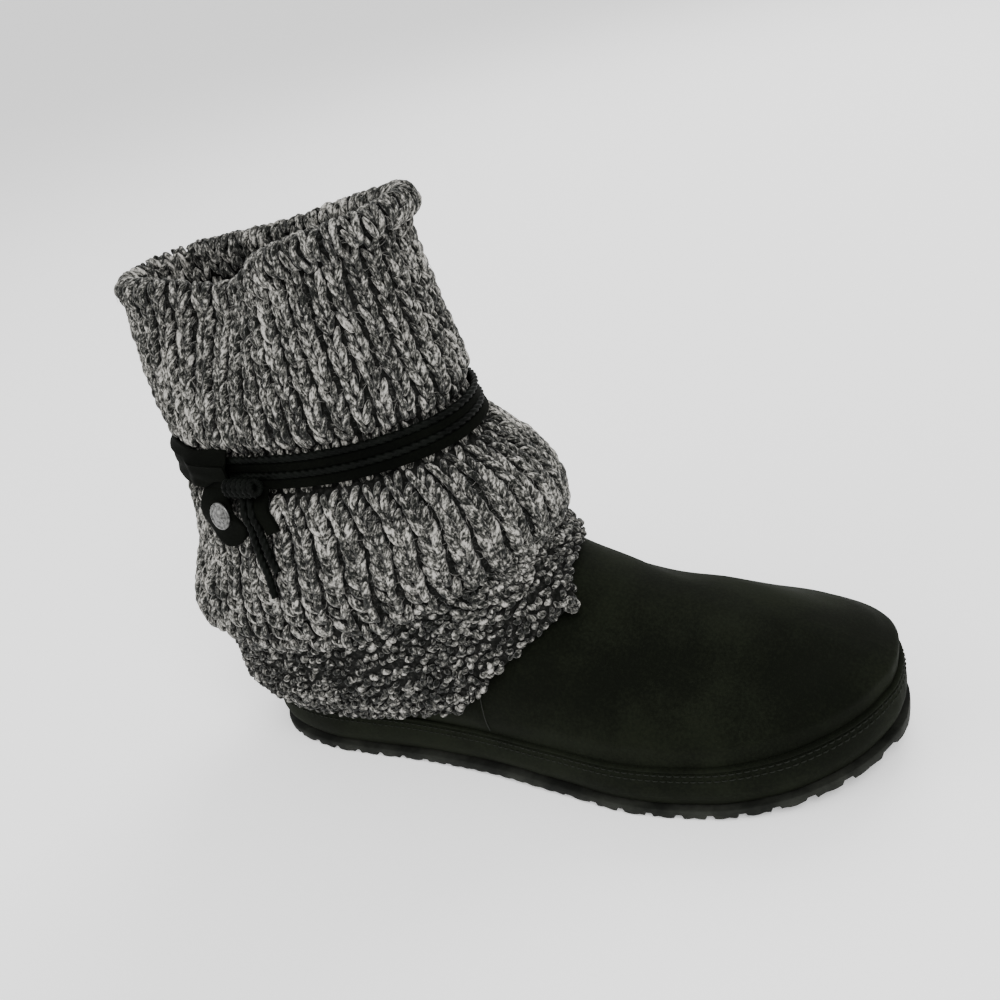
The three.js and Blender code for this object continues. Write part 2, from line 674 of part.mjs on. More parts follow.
const boot = new THREE.Group();
boot.position.set(-heelCentre, 0, 0);
boot.add(
  outsole(),
  midsole(),
  insole(),
  upper(),
  knitShaft(),
  ...tieStrands(),
  keeperTab(),
  stud(),
  knot(),
  tail('tail_cord_long', cordTailLong, roundCorners(cordDiameter, 8), CORD),
  tail('tail_cord_short', cordTailShort, roundCorners(cordDiameter, 8), CORD),
  tail('tail_lace', laceTail, laceCorners(laceWidth, laceThickness), SUEDE),
);
const model = new THREE.Group();
model.add(boot);

export default model;
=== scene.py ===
"""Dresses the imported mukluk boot: suede foot on a wrapped platform, rib-knit shaft and ankle tie.

Sizes are in millimetres of the real boot, with x = 0 at the back of the heel, and are turned into the
frame's metres when a mesh is made.
"""
import logging
import math
from dataclasses import dataclass, field
from enum import Enum
from typing import Callable, Sequence

import bmesh
import bpy
import numpy as np
from mathutils import Matrix, Vector


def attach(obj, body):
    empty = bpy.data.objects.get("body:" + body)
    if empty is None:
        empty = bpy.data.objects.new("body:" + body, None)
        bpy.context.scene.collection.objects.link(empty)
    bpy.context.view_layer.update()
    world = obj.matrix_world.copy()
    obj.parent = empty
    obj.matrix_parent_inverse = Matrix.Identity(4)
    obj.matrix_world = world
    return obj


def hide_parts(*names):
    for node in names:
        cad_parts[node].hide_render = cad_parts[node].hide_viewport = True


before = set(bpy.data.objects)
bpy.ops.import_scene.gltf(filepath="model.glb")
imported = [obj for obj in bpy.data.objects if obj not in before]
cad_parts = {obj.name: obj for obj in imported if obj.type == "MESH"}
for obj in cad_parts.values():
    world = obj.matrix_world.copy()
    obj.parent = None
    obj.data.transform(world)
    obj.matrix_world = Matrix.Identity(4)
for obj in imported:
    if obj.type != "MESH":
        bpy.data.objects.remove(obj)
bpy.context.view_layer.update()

log = logging.getLogger("mukluk")

MM = 0.001
HEEL_CENTRE = 44.0
WELD = 2e-6
BODY = "root"
Array = np.ndarray
Triple = tuple[float, float, float]
Colour = Triple
Thing = bpy.types.Object
Finish = bpy.types.Material


class Slot(Enum):
    """The record's material slots."""

    SUEDE = "suede"
    RUBBER = "rubber"
    LINING = "lining"
    KNIT = "knit"
    CORD = "cord"
    METAL = "metal"


# Curves and small maths


def between(t: Array, span: Array | float, values: tuple, slopes: tuple) -> Array:
    """Reads a cubic between two stations.

    Args:
        t: shares of the way from the first to the second.
        span: the distance between them.
        values: the value at each.
        slopes: the slope at each.

    Returns:
        The value at each share.
    """
    rest = (1 - t) ** 2
    return ((1 + 2 * t) * rest * values[0] + t * rest * span * slopes[0]
            + t * t * (3 - 2 * t) * values[1] + t * t * (t - 1) * span * slopes[1])


class Curve:
    """A smooth curve through the rows of a table that never overshoots between them."""

    def __init__(self, stations: Sequence[float], values: Sequence) -> None:
        """Args:
            stations: rising stations.
            values: one value, or one row of values, for each station.
        """
        self.s = np.asarray(stations, float)
        self.v = np.asarray(values, float)
        extra = (1,) * (self.v.ndim - 1)
        self.h = np.diff(self.s).reshape(-1, *extra)
        slope = np.diff(self.v, axis=0) / self.h
        self.t = np.zeros_like(self.v)
        self.t[0], self.t[-1] = slope[0], slope[-1]
        if len(self.s) > 2:
            low, high = slope[:-1], slope[1:]
            before = 2 * self.h[1:] + self.h[:-1]
            after = self.h[1:] + 2 * self.h[:-1]
            same = low * high > 0
            safe_low, safe_high = np.where(same, low, 1.0), np.where(same, high, 1.0)
            mean = (before + after) / (before / safe_low + after / safe_high)
            self.t[1:-1] = np.where(same, mean, 0.0)

    def __call__(self, at: Array | float) -> Array:
        """Reads the curve.

        Args:
            at: stations on the curve.

        Returns:
            The value, or the row of values, at each of them.
        """
        at = np.asarray(at, float)
        flat = at.ravel()
        i = np.clip(np.searchsorted(self.s[1:], flat, side="left"), 0, len(self.s) - 2)
        extra = (1,) * (self.v.ndim - 1)
        t = np.clip((flat - self.s[i]) / np.diff(self.s)[i], 0, 1).reshape(-1, *extra)
        value = between(t, self.h[i], (self.v[i], self.v[i + 1]), (self.t[i], self.t[i + 1]))
        return value.reshape(at.shape + self.v.shape[1:])


def smooth(low: float, high: float, s: Array | float) -> Array:
    """Smooth step from 0 at `low` to 1 at `high`."""
    t = np.clip((np.asarray(s, float) - low) / (high - low), 0, 1)
    return t * t * (3 - 2 * t)


def bell(distance: Array | float, width: float) -> Array:
    """A bell of height 1."""
    return np.exp(-((np.asarray(distance) / width) ** 2))


def together(*values: Array | float) -> list[Array]:
    """Numbers and arrays, each as an array of the same shape."""
    return np.broadcast_arrays(*(np.asarray(value, float) for value in values))


def square_to(v: Array, axis: Array) -> Array:
    """The directions nearest to some vectors that stand square on unit axes."""
    return unit(v - axis * np.sum(v * axis, -1, keepdims=True))


def unit(v: Array) -> Array:
    """Vectors scaled to length 1."""
    return v / np.maximum(np.linalg.norm(v, axis=-1, keepdims=True), 1e-12)


def column_curves(names: str, rows: Sequence[Sequence[float]]) -> dict[str, Curve]:
    """One curve for each named column after the first, against the first."""
    data = np.asarray(rows, float)
    return {n: Curve(data[:, 0], data[:, k + 1]) for k, n in enumerate(names.split()[1:])}


# Mesh helpers


def add_object(name: str, data: bpy.types.ID) -> Thing:
    """Puts a mesh, a light or a camera into the scene.

    Args:
        name: the object's name.
        data: the mesh, light or camera.

    Returns:
        The object.
    """
    thing = bpy.data.objects.new(name, data)
    bpy.context.scene.collection.objects.link(thing)
    return thing


def new_object(name: str, points: Array, faces: Sequence, crease: float = 0.9) -> Thing:
    """Makes a mesh object in the frame's metres from points in the boot's millimetres.

    Args:
        name: the object's name.
        points: an array of points.
        faces: lists of vertex numbers, wound so that faces point outwards.
        crease: the angle in radians past which an edge stays sharp.

    Returns:
        The new object, at the origin.
    """
    mesh = bpy.data.meshes.new(name)
    placed = (np.asarray(points, float).reshape(-1, 3) - (HEEL_CENTRE, 0, 0)) * MM
    mesh.from_pydata(placed.tolist(), [], [list(map(int, f)) for f in faces])
    mesh.validate()
    mesh.polygons.foreach_set("use_smooth", [True] * len(mesh.polygons))
    mesh.set_sharp_from_angle(angle=crease)
    mesh.update()
    return add_object(name, mesh)


def ring_faces(rings: int, around: int, closed: bool) -> list[tuple[int, ...]]:
    """Joins rings of points by quads.

    Args:
        rings: how many rings there are.
        around: the number of points in each.
        closed: whether the last ring joins the first.

    Returns:
        The faces.
    """
    faces = []
    for k in range(rings if closed else rings - 1):
        low, high = k * around, ((k + 1) % rings) * around
        for j in range(around):
            nxt = (j + 1) % around
            faces.append((low + j, low + nxt, high + nxt, high + j))
    return faces


def ladder(ring: Sequence[int]) -> list[tuple[int, ...]]:
    """Closes a ring whose halves mirror each other by a flat ladder of quads."""
    n = len(ring)
    return [(ring[j], ring[n - 1 - j], ring[n - 2 - j], ring[j + 1]) for j in range(n // 2 - 1)]


def flip(faces: list[tuple[int, ...]]) -> list[tuple[int, ...]]:
    """The same faces, turned over."""
    return [tuple(reversed(f)) for f in faces]


def plate(rings: Sequence[Array]) -> tuple[Array, list]:
    """Joins rings into a closed piece whose two ends are flat ladders of quads.

    Args:
        rings: rings of points whose halves mirror each other.

    Returns:
        Points and faces.
    """
    around = len(rings[0])
    total = len(rings) * around
    faces = ring_faces(len(rings), around, False)
    faces += flip(ladder(range(around))) + ladder(range(total - around, total))
    return np.concatenate(rings), faces


def loft(rings: Sequence[Array], middles: Sequence[Array] | None = None) -> tuple[Array, list]:
    """Joins rings into a closed piece with a fan at each end.

    Args:
        rings: rings of points.
        middles: the middle point of each fan; each end ring's own middle where it isn't given.

    Returns:
        Points and faces.
    """
    around = len(rings[0])
    faces = ring_faces(len(rings), around, False)
    points = np.concatenate(rings)
    first, last, base = len(points), len(points) + 1, len(points) - around
    for j in range(around):
        nxt = (j + 1) % around
        faces.append((first, nxt, j))
        faces.append((last, base + j, base + nxt))
    return np.vstack([points, *(middles or (rings[0].mean(0), rings[-1].mean(0)))]), faces


def sweep(path: Array, normal: Array, corners: Callable[[int], Array], closed: bool) -> tuple[Array, list]:
    """Moves a section along a path.

    Args:
        path: the points of the path.
        normal: the direction of the section's second axis at each point.
        corners: gives the section (along side and normal) at a step of the path.
        closed: whether the path is a loop.

    Returns:
        Points and faces, with the ends closed by fans.
    """
    if closed:
        along = unit(np.roll(path, -1, 0) - np.roll(path, 1, 0))
    else:
        along = unit(np.gradient(path, axis=0))
    normal = square_to(normal, along)
    side = np.cross(normal, along)
    rings = []
    for i in range(len(path)):
        c = corners(i)
        rings.append(path[i] + c[:, :1] * side[i] + c[:, 1:2] * normal[i])
    if not closed:
        return loft(rings)
    return np.concatenate(rings), ring_faces(len(rings), len(rings[0]), True)


def disc(across: float, tall: float, sides: int) -> Array:
    """A round or oval section, given by its two half sizes."""
    angles = 2 * np.pi * np.arange(sides) / sides
    return np.stack([np.cos(angles) * across, np.sin(angles) * tall], -1)


def join_parts(parts: Sequence[tuple[Array, list]]) -> tuple[Array, list]:
    """Joins several pieces into one.

    Args:
        parts: the points and faces of each.

    Returns:
        Points and faces of all.
    """
    points, faces, start = [], [], 0
    for p, f in parts:
        points.append(p)
        faces += [tuple(i + start for i in face) for face in f]
        start += len(p)
    return np.vstack(points), faces


def by_length(loop: Array, shares: Array) -> Array:
    """Divides a closed loop by its own length.

    Args:
        loop: the points of the loop.
        shares: shares of its length; whole turns are dropped.

    Returns:
        The point at each share.
    """
    closed = np.vstack([loop, loop[:1]])
    sums = np.concatenate([[0], np.cumsum(np.linalg.norm(np.diff(closed, axis=0), axis=1))])
    target = (shares % 1) * sums[-1]
    return np.stack([np.interp(target, sums, closed[:, k]) for k in range(3)], -1)


def set_uv(thing: Thing, values: Array) -> None:
    """Gives each face corner the place of its vertex along and round the yarn.

    Args:
        thing: the mesh object.
        values: one (along, around) for each vertex.
    """
    mesh = thing.data
    index = np.empty(len(mesh.loops), np.int32)
    mesh.loops.foreach_get("vertex_index", index)
    layer = mesh.uv_layers.new(name="yarn")
    layer.data.foreach_set("uv", np.asarray(values, np.float32)[index].ravel())


def euler_of(basis: Array) -> Array:
    """Turns rotation matrices into XYZ Euler angles.

    Args:
        basis: the matrices, as an array of n by 3 by 3.

    Returns:
        Three angles for each matrix.
    """
    ry = -np.arcsin(np.clip(basis[:, 2, 0], -1, 1))
    rx = np.arctan2(basis[:, 2, 1], basis[:, 2, 2])
    rz = np.arctan2(basis[:, 1, 0], basis[:, 0, 0])
    return np.stack([rx, ry, rz], -1)


def outward_faces(thing: Thing, crease: float = 0.9) -> None:
    """Welds the points of a closed piece that coincide and turns its faces outwards.

    Args:
        thing: the piece.
        crease: the angle in radians past which an edge stays sharp.
    """
    work = bmesh.new()
    work.from_mesh(thing.data)
    bmesh.ops.remove_doubles(work, verts=work.verts, dist=WELD)
    bmesh.ops.dissolve_degenerate(work, edges=work.edges, dist=WELD)
    bmesh.ops.recalc_face_normals(work, faces=work.faces)
    if work.calc_volume(signed=True) < 0:
        bmesh.ops.reverse_faces(work, faces=work.faces)
    work.to_mesh(thing.data)
    work.free()
    thing.data.set_sharp_from_angle(angle=crease)


# Shader helpers


class Sock:
    """A shader socket with arithmetic: an expression on values adds its Math nodes."""

    def __init__(self, shop: "Shader", socket: bpy.types.NodeSocket) -> None:
        """Wraps a socket of a shader under construction."""
        self.shop, self.socket = shop, socket

    def _math(self, operation: str, *others: "Sock | float", swap: bool = False) -> "Sock":
        """Adds one Math node on this value and others.

        Args:
            operation: the node's operation.
            others: the other values.
            swap: whether this value comes last.

        Returns:
            The node's result.
        """
        values = [self, *others]
        if swap:
            values.reverse()
        return self.shop.math(operation, *values)

    def __add__(self, o: "Sock | float") -> "Sock":
        """self + o"""
        return self._math("ADD", o)

    def __sub__(self, o: "Sock | float") -> "Sock":
        """self - o"""
        return self._math("SUBTRACT", o)

    def __mul__(self, o: "Sock | float") -> "Sock":
        """self * o"""
        return self._math("MULTIPLY", o)

    def __rsub__(self, o: float) -> "Sock":
        """o - self"""
        return self._math("SUBTRACT", o, swap=True)

    __radd__ = __add__
    __rmul__ = __mul__

    def sine(self) -> "Sock":
        """sin(self)"""
        return self._math("SINE")

    def smooth(self, low: float, high: float) -> "Sock":
        """Smooth step from 0 at `low` to 1 at `high`."""
        limits = {"Value": self, "From Min": low, "From Max": high}
        return self.shop.node("ShaderNodeMapRange", {"interpolation_type": "SMOOTHSTEP"}, limits, "Result")


class Shader:
    """Builds one node material around a Principled shader."""

    def __init__(self, name: str, **constants: float | tuple) -> None:
        """Args:
            name: the material's name.
            constants: values for the shader's own sockets, with _ for a space.
        """
        self.material = bpy.data.materials.new(name)
        self.material.use_nodes = True
        self.tree = self.material.node_tree
        self.body = self.tree.nodes["Principled BSDF"]
        for key, value in constants.items():
            self.body.inputs[key.replace("_", " ")].default_value = value

    def node(self, kind: str, settings: dict, values: dict, out: str | int = 0) -> Sock:
        """Adds a node.

        Args:
            kind: the node's type.
            settings: its properties, set first; "stops" holds a colour ramp's stops.
            values: values or links for its input sockets.
            out: the output socket to return.

        Returns:
            The wrapped output socket.
        """
        made = self.tree.nodes.new(kind)
        for key, value in settings.items():
            if key == "stops":
                ramp = made.color_ramp
                while len(ramp.elements) < len(value):
                    ramp.elements.new(0.5)
                for element, (place, colour) in zip(ramp.elements, value):
                    element.position = place
                    element.color = (*colour, 1)
            else:
                setattr(made, key, value)
        for key, value in values.items():
            target = made.inputs[key]
            if isinstance(value, Sock):
                self.tree.links.new(value.socket, target)
            else:
                target.default_value = (*value, 1) if target.type == "RGBA" else value
        return Sock(self, made.outputs[out])

    def math(self, operation: str, *values: "Sock | float") -> Sock:
        """One Math node."""
        return self.node("ShaderNodeMath", {"operation": operation}, dict(enumerate(values)))

    def object_coords(self) -> Sock:
        """The piece's own object coordinates."""
        return self.node("ShaderNodeTexCoord", {}, {}, "Object")

    def uv(self, name: str) -> tuple[Sock, Sock]:
        """Reads a UV map.

        Args:
            name: the map's name.

        Returns:
            Its two coordinates.
        """
        both = self.node("ShaderNodeUVMap", {"uv_map": name}, {})
        first = self.node("ShaderNodeSeparateXYZ", {}, {0: both})
        return first, Sock(self, first.socket.node.outputs[1])

    def attribute(self, name: str) -> Sock:
        """A number stored on the mesh."""
        return self.node("ShaderNodeAttribute", {"attribute_name": name}, {}, "Fac")

    def noise(self, scale: float, detail: float, rough: float, vector: Sock | None = None) -> Sock:
        """Adds a noise.

        Args:
            scale: waves a metre, or a unit of `vector`.
            detail: how many finer layers it has.
            rough: how strong those are.
            vector: where it is read; the piece's object coordinates where it isn't given.

        Returns:
            Its value, from 0 to 1.
        """
        where = vector or self.object_coords()
        values = {"Vector": where, "Scale": scale, "Detail": detail, "Roughness": rough}
        return self.node("ShaderNodeTexNoise", {"noise_dimensions": "3D"}, values)

    def mix(self, share: Sock, first: tuple, second: tuple) -> Sock:
        """Mixes two colours."""
        return self.node("ShaderNodeMix", {"data_type": "RGBA"}, {0: share, 6: first, 7: second}, 2)

    def ramp(self, value: Sock, *stops: tuple[float, tuple]) -> Sock:
        """Colours a value by stops, each a place and a colour."""
        return self.node("ShaderNodeValToRGB", {"stops": stops}, {"Fac": value})

    def vector(self, x: Sock, y: Sock, z: Sock) -> Sock:
        """Three values as one vector."""
        return self.node("ShaderNodeCombineXYZ", {}, {0: x, 1: y, 2: z})

    def bump(self, height: Sock, distance: float, strength: float = 1.0) -> Sock:
        """A Bump node; distance is in metres."""
        return self.node("ShaderNodeBump", {}, {"Height": height, "Distance": distance, "Strength": strength})

    def dress(self, **links: Sock) -> Finish:
        """Links varying values to the shader's sockets.

        Args:
            links: the values, with _ for a space in a socket's name.

        Returns:
            The material.
        """
        for key, value in links.items():
            self.tree.links.new(value.socket, self.body.inputs[key.replace("_", " ")])
        return self.material


# Finishes


@dataclass(frozen=True)
class SuedeFinish:
    """Near-black brushed suede with a faint green cast."""

    name: str = "black_suede"
    dark: Colour = (0.0017, 0.0023, 0.001)
    light: Colour = (0.006, 0.0076, 0.004)
    sheen: float = 0.01
    gloss: float = 0.06

    def make(self) -> Finish:
        """Builds the finish.

        Returns:
            The material.
        """
        s = Shader(self.name, Roughness=0.9, Sheen_Weight=self.sheen, Sheen_Roughness=0.55,
                   Sheen_Tint=(0.75, 0.85, 0.6, 1), Specular_IOR_Level=self.gloss)
        broad = s.noise(28, 3, 0.55)
        nap = s.noise(900, 4, 0.65)
        fine = s.noise(3200, 2, 0.6)
        share = (broad.smooth(0.3, 0.72) * 0.6 + nap.smooth(0.3, 0.75) * 0.4).smooth(0.1, 0.95)
        colour = s.mix(share, self.dark, self.light)
        height = nap * 0.6 + fine * 0.4
        rough = 0.82 + broad * 0.14
        return s.dress(Base_Color=colour, Roughness=rough, Normal=s.bump(height, 0.00018, 0.55))


@dataclass(frozen=True)
class RubberFinish:
    """Matt dark grey rubber with dusty patches."""

    name: str = "outsole_rubber"
    rubber: Colour = (0.0045, 0.0051, 0.004)
    dusty: Colour = (0.02, 0.0215, 0.0175)

    def make(self) -> Finish:
        """Builds the finish.

        Returns:
            The material.
        """
        s = Shader(self.name, Roughness=0.7, Specular_IOR_Level=0.1)
        dust = s.noise(60, 4, 0.6)
        grit = s.noise(1500, 3, 0.6)
        colour = s.mix(dust.smooth(0.35, 0.75), self.rubber, self.dusty)
        return s.dress(Base_Color=colour, Roughness=0.6 + grit * 0.25, Normal=s.bump(grit, 0.00012, 0.5))


@dataclass(frozen=True)
class FeltFinish:
    """Dark felt of the footbed and lining."""

    name: str = "felt_lining"
    dark: Colour = (0.02, 0.02, 0.021)
    light: Colour = (0.07, 0.07, 0.072)

    def make(self) -> Finish:
        """Builds the finish.

        Returns:
            The material.
        """
        s = Shader(self.name, Roughness=0.95, Sheen_Weight=0.2, Sheen_Roughness=0.6)
        fibre = s.noise(1400, 5, 0.7)
        colour = s.mix(fibre.smooth(0.3, 0.7), self.dark, self.light)
        return s.dress(Base_Color=colour, Normal=s.bump(fibre, 0.0004, 0.8))


@dataclass(frozen=True)
class WoolFinish:
    """Marled wool: black and off-white plies twisted together, with painted shade towards the yarn's under
    side.

    Attributes:
        light: the off-white fibre.
        middle: where black and off-white fibres mix.
        dark: the black fibre.
        bias: how far the mix leans to the dark fibre; where it is large it serves as painted shade.
        lengthwise: light and dark streaks along one leg of a stitch.
        across: streaks round the yarn.
        shadow: how far painted shade darkens the yarn towards its under side.
        winding: how far the streaks wind round the yarn over its length.
        ply_turn: radians by which the two plies turn over its length.
        apart: how far apart two stitches read the noise.
    """

    name: str = "marled_wool"
    light: Colour = (0.405, 0.39, 0.358)
    middle: Colour = (0.085, 0.084, 0.076)
    dark: Colour = (0.0045, 0.0052, 0.0042)
    bias: float = 0.0
    lengthwise: float = 4.8
    across: float = 7.6
    shadow: float = 0.5
    winding: float = 2.2
    ply_turn: float = 7.0
    apart: float = 60.0

    def make(self) -> Finish:
        """Builds the finish.

        Returns:
            The material.
        """
        s = Shader(self.name, Roughness=0.93, Sheen_Weight=0.1, Sheen_Roughness=0.5,
                   Specular_IOR_Level=0.1)
        along, around = s.uv("yarn")
        shade = s.attribute("shade")
        own = shade * self.apart
        twist = around * self.across - along * self.winding
        finer_along, finer_round, elsewhere = 2.6, 2.2, 9.0
        streak = s.noise(1.0, 1.0, 0.5, s.vector(along * self.lengthwise, twist, own))
        speck_at = s.vector(along * self.lengthwise * finer_along, twist * finer_round, own + elsewhere)
        specks = s.noise(1.0, 1.5, 0.6, speck_at)
        patch = s.noise(75, 2, 0.5)
        ply = (along * self.ply_turn + around * (4 * math.pi) + own).sine() * 0.5 + 0.5
        # Painted shade: each leg of yarn darkens towards its under side, where the stitches shade each other.
        under = around * 2.0 - 1.0
        marl = streak * 1.05 + specks * 0.85 + patch * 0.34 + shade * 0.18 + ply * 0.06
        value = marl - under * under * self.shadow - 0.87 - self.bias
        colour = s.ramp(value, (0.22, self.dark), (0.42, self.middle), (0.64, self.light), (1.0, self.light))
        fibre = s.noise(2600, 3, 0.6)
        height = ply * 0.35 + specks * 0.6 + fibre * 0.3
        return s.dress(Base_Color=colour, Normal=s.bump(height, 0.0008, 0.9))


@dataclass(frozen=True)
class GrooveShadeFinish:
    """Painted shade: the wool seen deep between the ribs and behind the stitches, painted near black to stand
    in for the shade there.
    """

    name: str = "wool_groove"
    # Painted shade: near-black tones for the shaded wool, with its paler flecks dimmed to match.
    dark: Colour = (0.003, 0.0034, 0.0028)
    middle: Colour = (0.012, 0.012, 0.011)
    fleck: Colour = (0.07, 0.069, 0.064)

    def make(self) -> Finish:
        """Builds the finish.

        Returns:
            The material.
        """
        s = Shader(self.name, Roughness=0.95, Specular_IOR_Level=0.1)
        flecks = s.noise(560, 3, 0.6)
        colour = s.ramp(flecks, (0.4, self.dark), (0.6, self.middle), (0.76, self.fleck))
        return s.dress(Base_Color=colour, Normal=s.bump(s.noise(1500, 3, 0.6), 0.0006, 0.8))


@dataclass(frozen=True)
class CordFinish:
    """Black twisted cord with a slight satin sheen."""

    name: str = "black_cord"
    dark: Colour = (0.001, 0.0013, 0.001)
    light: Colour = (0.0028, 0.0035, 0.0027)

    def make(self) -> Finish:
        """Builds the finish.

        Returns:
            The material.
        """
        s = Shader(self.name, Roughness=0.55, Specular_IOR_Level=0.04)
        fibre = s.noise(2400, 3, 0.6)
        broad = s.noise(120, 2, 0.5)
        colour = s.mix(broad.smooth(0.3, 0.7), self.dark, self.light)
        return s.dress(Base_Color=colour, Roughness=0.42 + fibre * 0.2, Normal=s.bump(fibre, 0.00012, 0.6))


@dataclass(frozen=True)
class ThreadFinish:
    """Sewing thread, or a loose fibre of wool.

    Attributes:
        paler: how much paler than `colour` its light fibres are.
    """

    name: str = "sewing_thread"
    colour: Colour = (0.03, 0.032, 0.03)
    paler: float = 1.8

    def make(self) -> Finish:
        """Builds the finish.

        Returns:
            The material.
        """
        s = Shader(self.name, Roughness=0.75, Specular_IOR_Level=0.1)
        fibre = s.noise(3000, 2, 0.5)
        pale = tuple(c * self.paler for c in self.colour)
        return s.dress(Base_Color=s.mix(fibre, self.colour, pale), Normal=s.bump(fibre, 0.0001, 0.5))


@dataclass(frozen=True)
class StudFinish:
    """Silvery hammered metal with patches of tarnish."""

    name: str = "hammered_metal"
    bright: Colour = (0.17, 0.17, 0.165)
    tarnished: Colour = (0.03, 0.03, 0.029)

    def make(self) -> Finish:
        """Builds the finish.

        Returns:
            The material.
        """
        s = Shader(self.name, Metallic=1.0)
        tarnish = s.noise(900, 4, 0.65)
        colour = s.mix(tarnish.smooth(0.35, 0.7), self.bright, self.tarnished)
        return s.dress(Base_Color=colour, Roughness=0.24 + tarnish * 0.2, Normal=s.bump(tarnish, 0.0001, 0.4))


class Finishes:
    """Makes each finish once."""

    def __init__(self) -> None:
        """Starts with no materials made."""
        self.made: dict[str, Finish] = {}

    def __call__(self, finish: object) -> Finish:
        """Gives the material of a finish.

        Args:
            finish: one of the finishes above.

        Returns:
            Its material, the same one each time.
        """
        if finish.name not in self.made:
            self.made[finish.name] = finish.make()
        return self.made[finish.name]


# Geometry Nodes


@dataclass
class Laid:
    """Where copies of a shape go: places in millimetres, Euler angles, and scales on each axis."""

    places: Array
    turns: Array
    sizes: Array

    @staticmethod
    def joined(rows: Sequence["Laid"]) -> "Laid":
        """The copies of several rows."""
        return Laid(*(np.vstack([getattr(row, key) for row in rows]) for key in ("places", "turns", "sizes")))

    def part(self, chosen: Array) -> "Laid":
        """Those of the copies that are chosen."""
        return Laid(self.places[chosen], self.turns[chosen], self.sizes[chosen])


@dataclass
class Scatter:
    """A Geometry Nodes tree that puts one shape on every point of a mesh.

    The points carry `turn` (Euler angles) and `size` (scale on each axis).

    Attributes:
        name: the tree's name.
        seed: seed of all that varies.
        tilt: largest random tilt in radians.
        vary: largest random change of size, as a share.
    """

    name: str
    seed: int = 1
    tilt: float = 0.1
    vary: float = 0.08

    def tree(self, shape: Thing, material: Finish) -> tuple:
        """Builds the tree.

        Args:
            shape: the object that is repeated.
            material: its finish.

        Returns:
            The tree, and the value of each of its inputs by the input's identifier.
        """
        tree = bpy.data.node_groups.new(self.name, "GeometryNodeTree")
        face = tree.interface
        face.new_socket(name="Points", in_out="INPUT", socket_type="NodeSocketGeometry")
        values = {}
        for key, kind, value in (
            ("Shape", "NodeSocketObject", shape),
            ("Seed", "NodeSocketInt", self.seed),
            ("Tilt", "NodeSocketFloat", self.tilt),
            ("Vary", "NodeSocketFloat", self.vary),
        ):
            values[face.new_socket(name=key, in_out="INPUT", socket_type=kind).identifier] = value
        face.new_socket(name="Mesh", in_out="OUTPUT", socket_type="NodeSocketGeometry")

        def add(kind: str, links: dict, out: str | int = 0, **settings: object) -> bpy.types.NodeSocket:
            """Adds a node.

            Args:
                kind: the node's type.
                links: values or links for its input sockets.
                out: the output socket to return.
                settings: its properties.

            Returns:
                The output socket.
            """
            made = tree.nodes.new(kind)
            for key, value in settings.items():
                setattr(made, key, value)
            for key, value in links.items():
                if isinstance(value, bpy.types.NodeSocket):
                    tree.links.new(value, made.inputs[key])
                else:
                    made.inputs[key].default_value = value
            return made.outputs[out]

        source = tree.nodes.new("NodeGroupInput").outputs
        seed = source["Seed"]
        vector = {"data_type": "FLOAT_VECTOR"}
        piece = add("GeometryNodeObjectInfo", {"Object": source["Shape"]}, "Geometry",
                    transform_space="ORIGINAL")
        turn = add("GeometryNodeInputNamedAttribute", {"Name": "turn"}, **vector)
        size = add("GeometryNodeInputNamedAttribute", {"Name": "size"}, **vector)
        wobble = add("FunctionNodeRandomValue", {0: (-1, -1, -1), 1: (1, 1, 1), "Seed": seed}, **vector)
        tilt = add("ShaderNodeVectorMath", {0: wobble, "Scale": source["Tilt"]}, operation="SCALE")
        base = add("FunctionNodeEulerToRotation", {0: turn})
        extra = add("FunctionNodeEulerToRotation", {0: tilt})
        rotation = add("FunctionNodeRotateRotation", {0: base, 1: extra}, rotation_space="LOCAL")
        low = add("ShaderNodeMath", {0: 1, 1: source["Vary"]}, operation="SUBTRACT")
        high = add("ShaderNodeMath", {0: 1, 1: source["Vary"]}, operation="ADD")
        grow = add("FunctionNodeRandomValue", {2: low, 3: high, "Seed": seed}, 1, data_type="FLOAT")
        scale = add("ShaderNodeVectorMath", {0: size, "Scale": grow}, operation="SCALE")
        placed = add("GeometryNodeInstanceOnPoints", {
            "Points": source["Points"], "Instance": piece, "Rotation": rotation, "Scale": scale})
        shade = add("FunctionNodeRandomValue", {"Seed": seed}, 1, data_type="FLOAT")
        stored = add("GeometryNodeStoreNamedAttribute", {"Name": "shade", "Geometry": placed, "Value": shade},
                     data_type="FLOAT", domain="INSTANCE")
        real = add("GeometryNodeRealizeInstances", {0: stored})
        painted = add("GeometryNodeSetMaterial", {"Geometry": real, "Material": material})
        tree.links.new(painted, tree.nodes.new("NodeGroupOutput").inputs[0])
        return tree, values

    def grow(self, name: str, laid: Laid, shape: Thing, material: Finish) -> Thing:
        """Puts the shape on every place and turns the result into a plain mesh.

        Args:
            name: the new object's name.
            laid: where the shape goes.
            shape: the object that is repeated.
            material: its finish.

        Returns:
            The new object, at the origin.
        """
        cloud = new_object(name + "_points", laid.places, [])
        for key, values in (("turn", laid.turns), ("size", laid.sizes)):
            layer = cloud.data.attributes.new(key, "FLOAT_VECTOR", "POINT")
            layer.data.foreach_set("vector", np.asarray(values, np.float32).ravel())
        tree, values = self.tree(shape, material)
        modifier = cloud.modifiers.new(self.name, "NODES")
        modifier.node_group = tree
        for key, value in values.items():
            modifier[key] = value
        graph = bpy.context.evaluated_depsgraph_get()
        mesh = bpy.data.meshes.new_from_object(cloud.evaluated_get(graph), depsgraph=graph)
        mesh.name = name
        cloud.modifiers.clear()
        bpy.data.objects.remove(cloud)
        for extra in ("turn", "size"):
            if extra in mesh.attributes:
                mesh.attributes.remove(mesh.attributes[extra])
        mesh.polygons.foreach_set("use_smooth", [True] * len(mesh.polygons))
        return add_object(name, mesh)


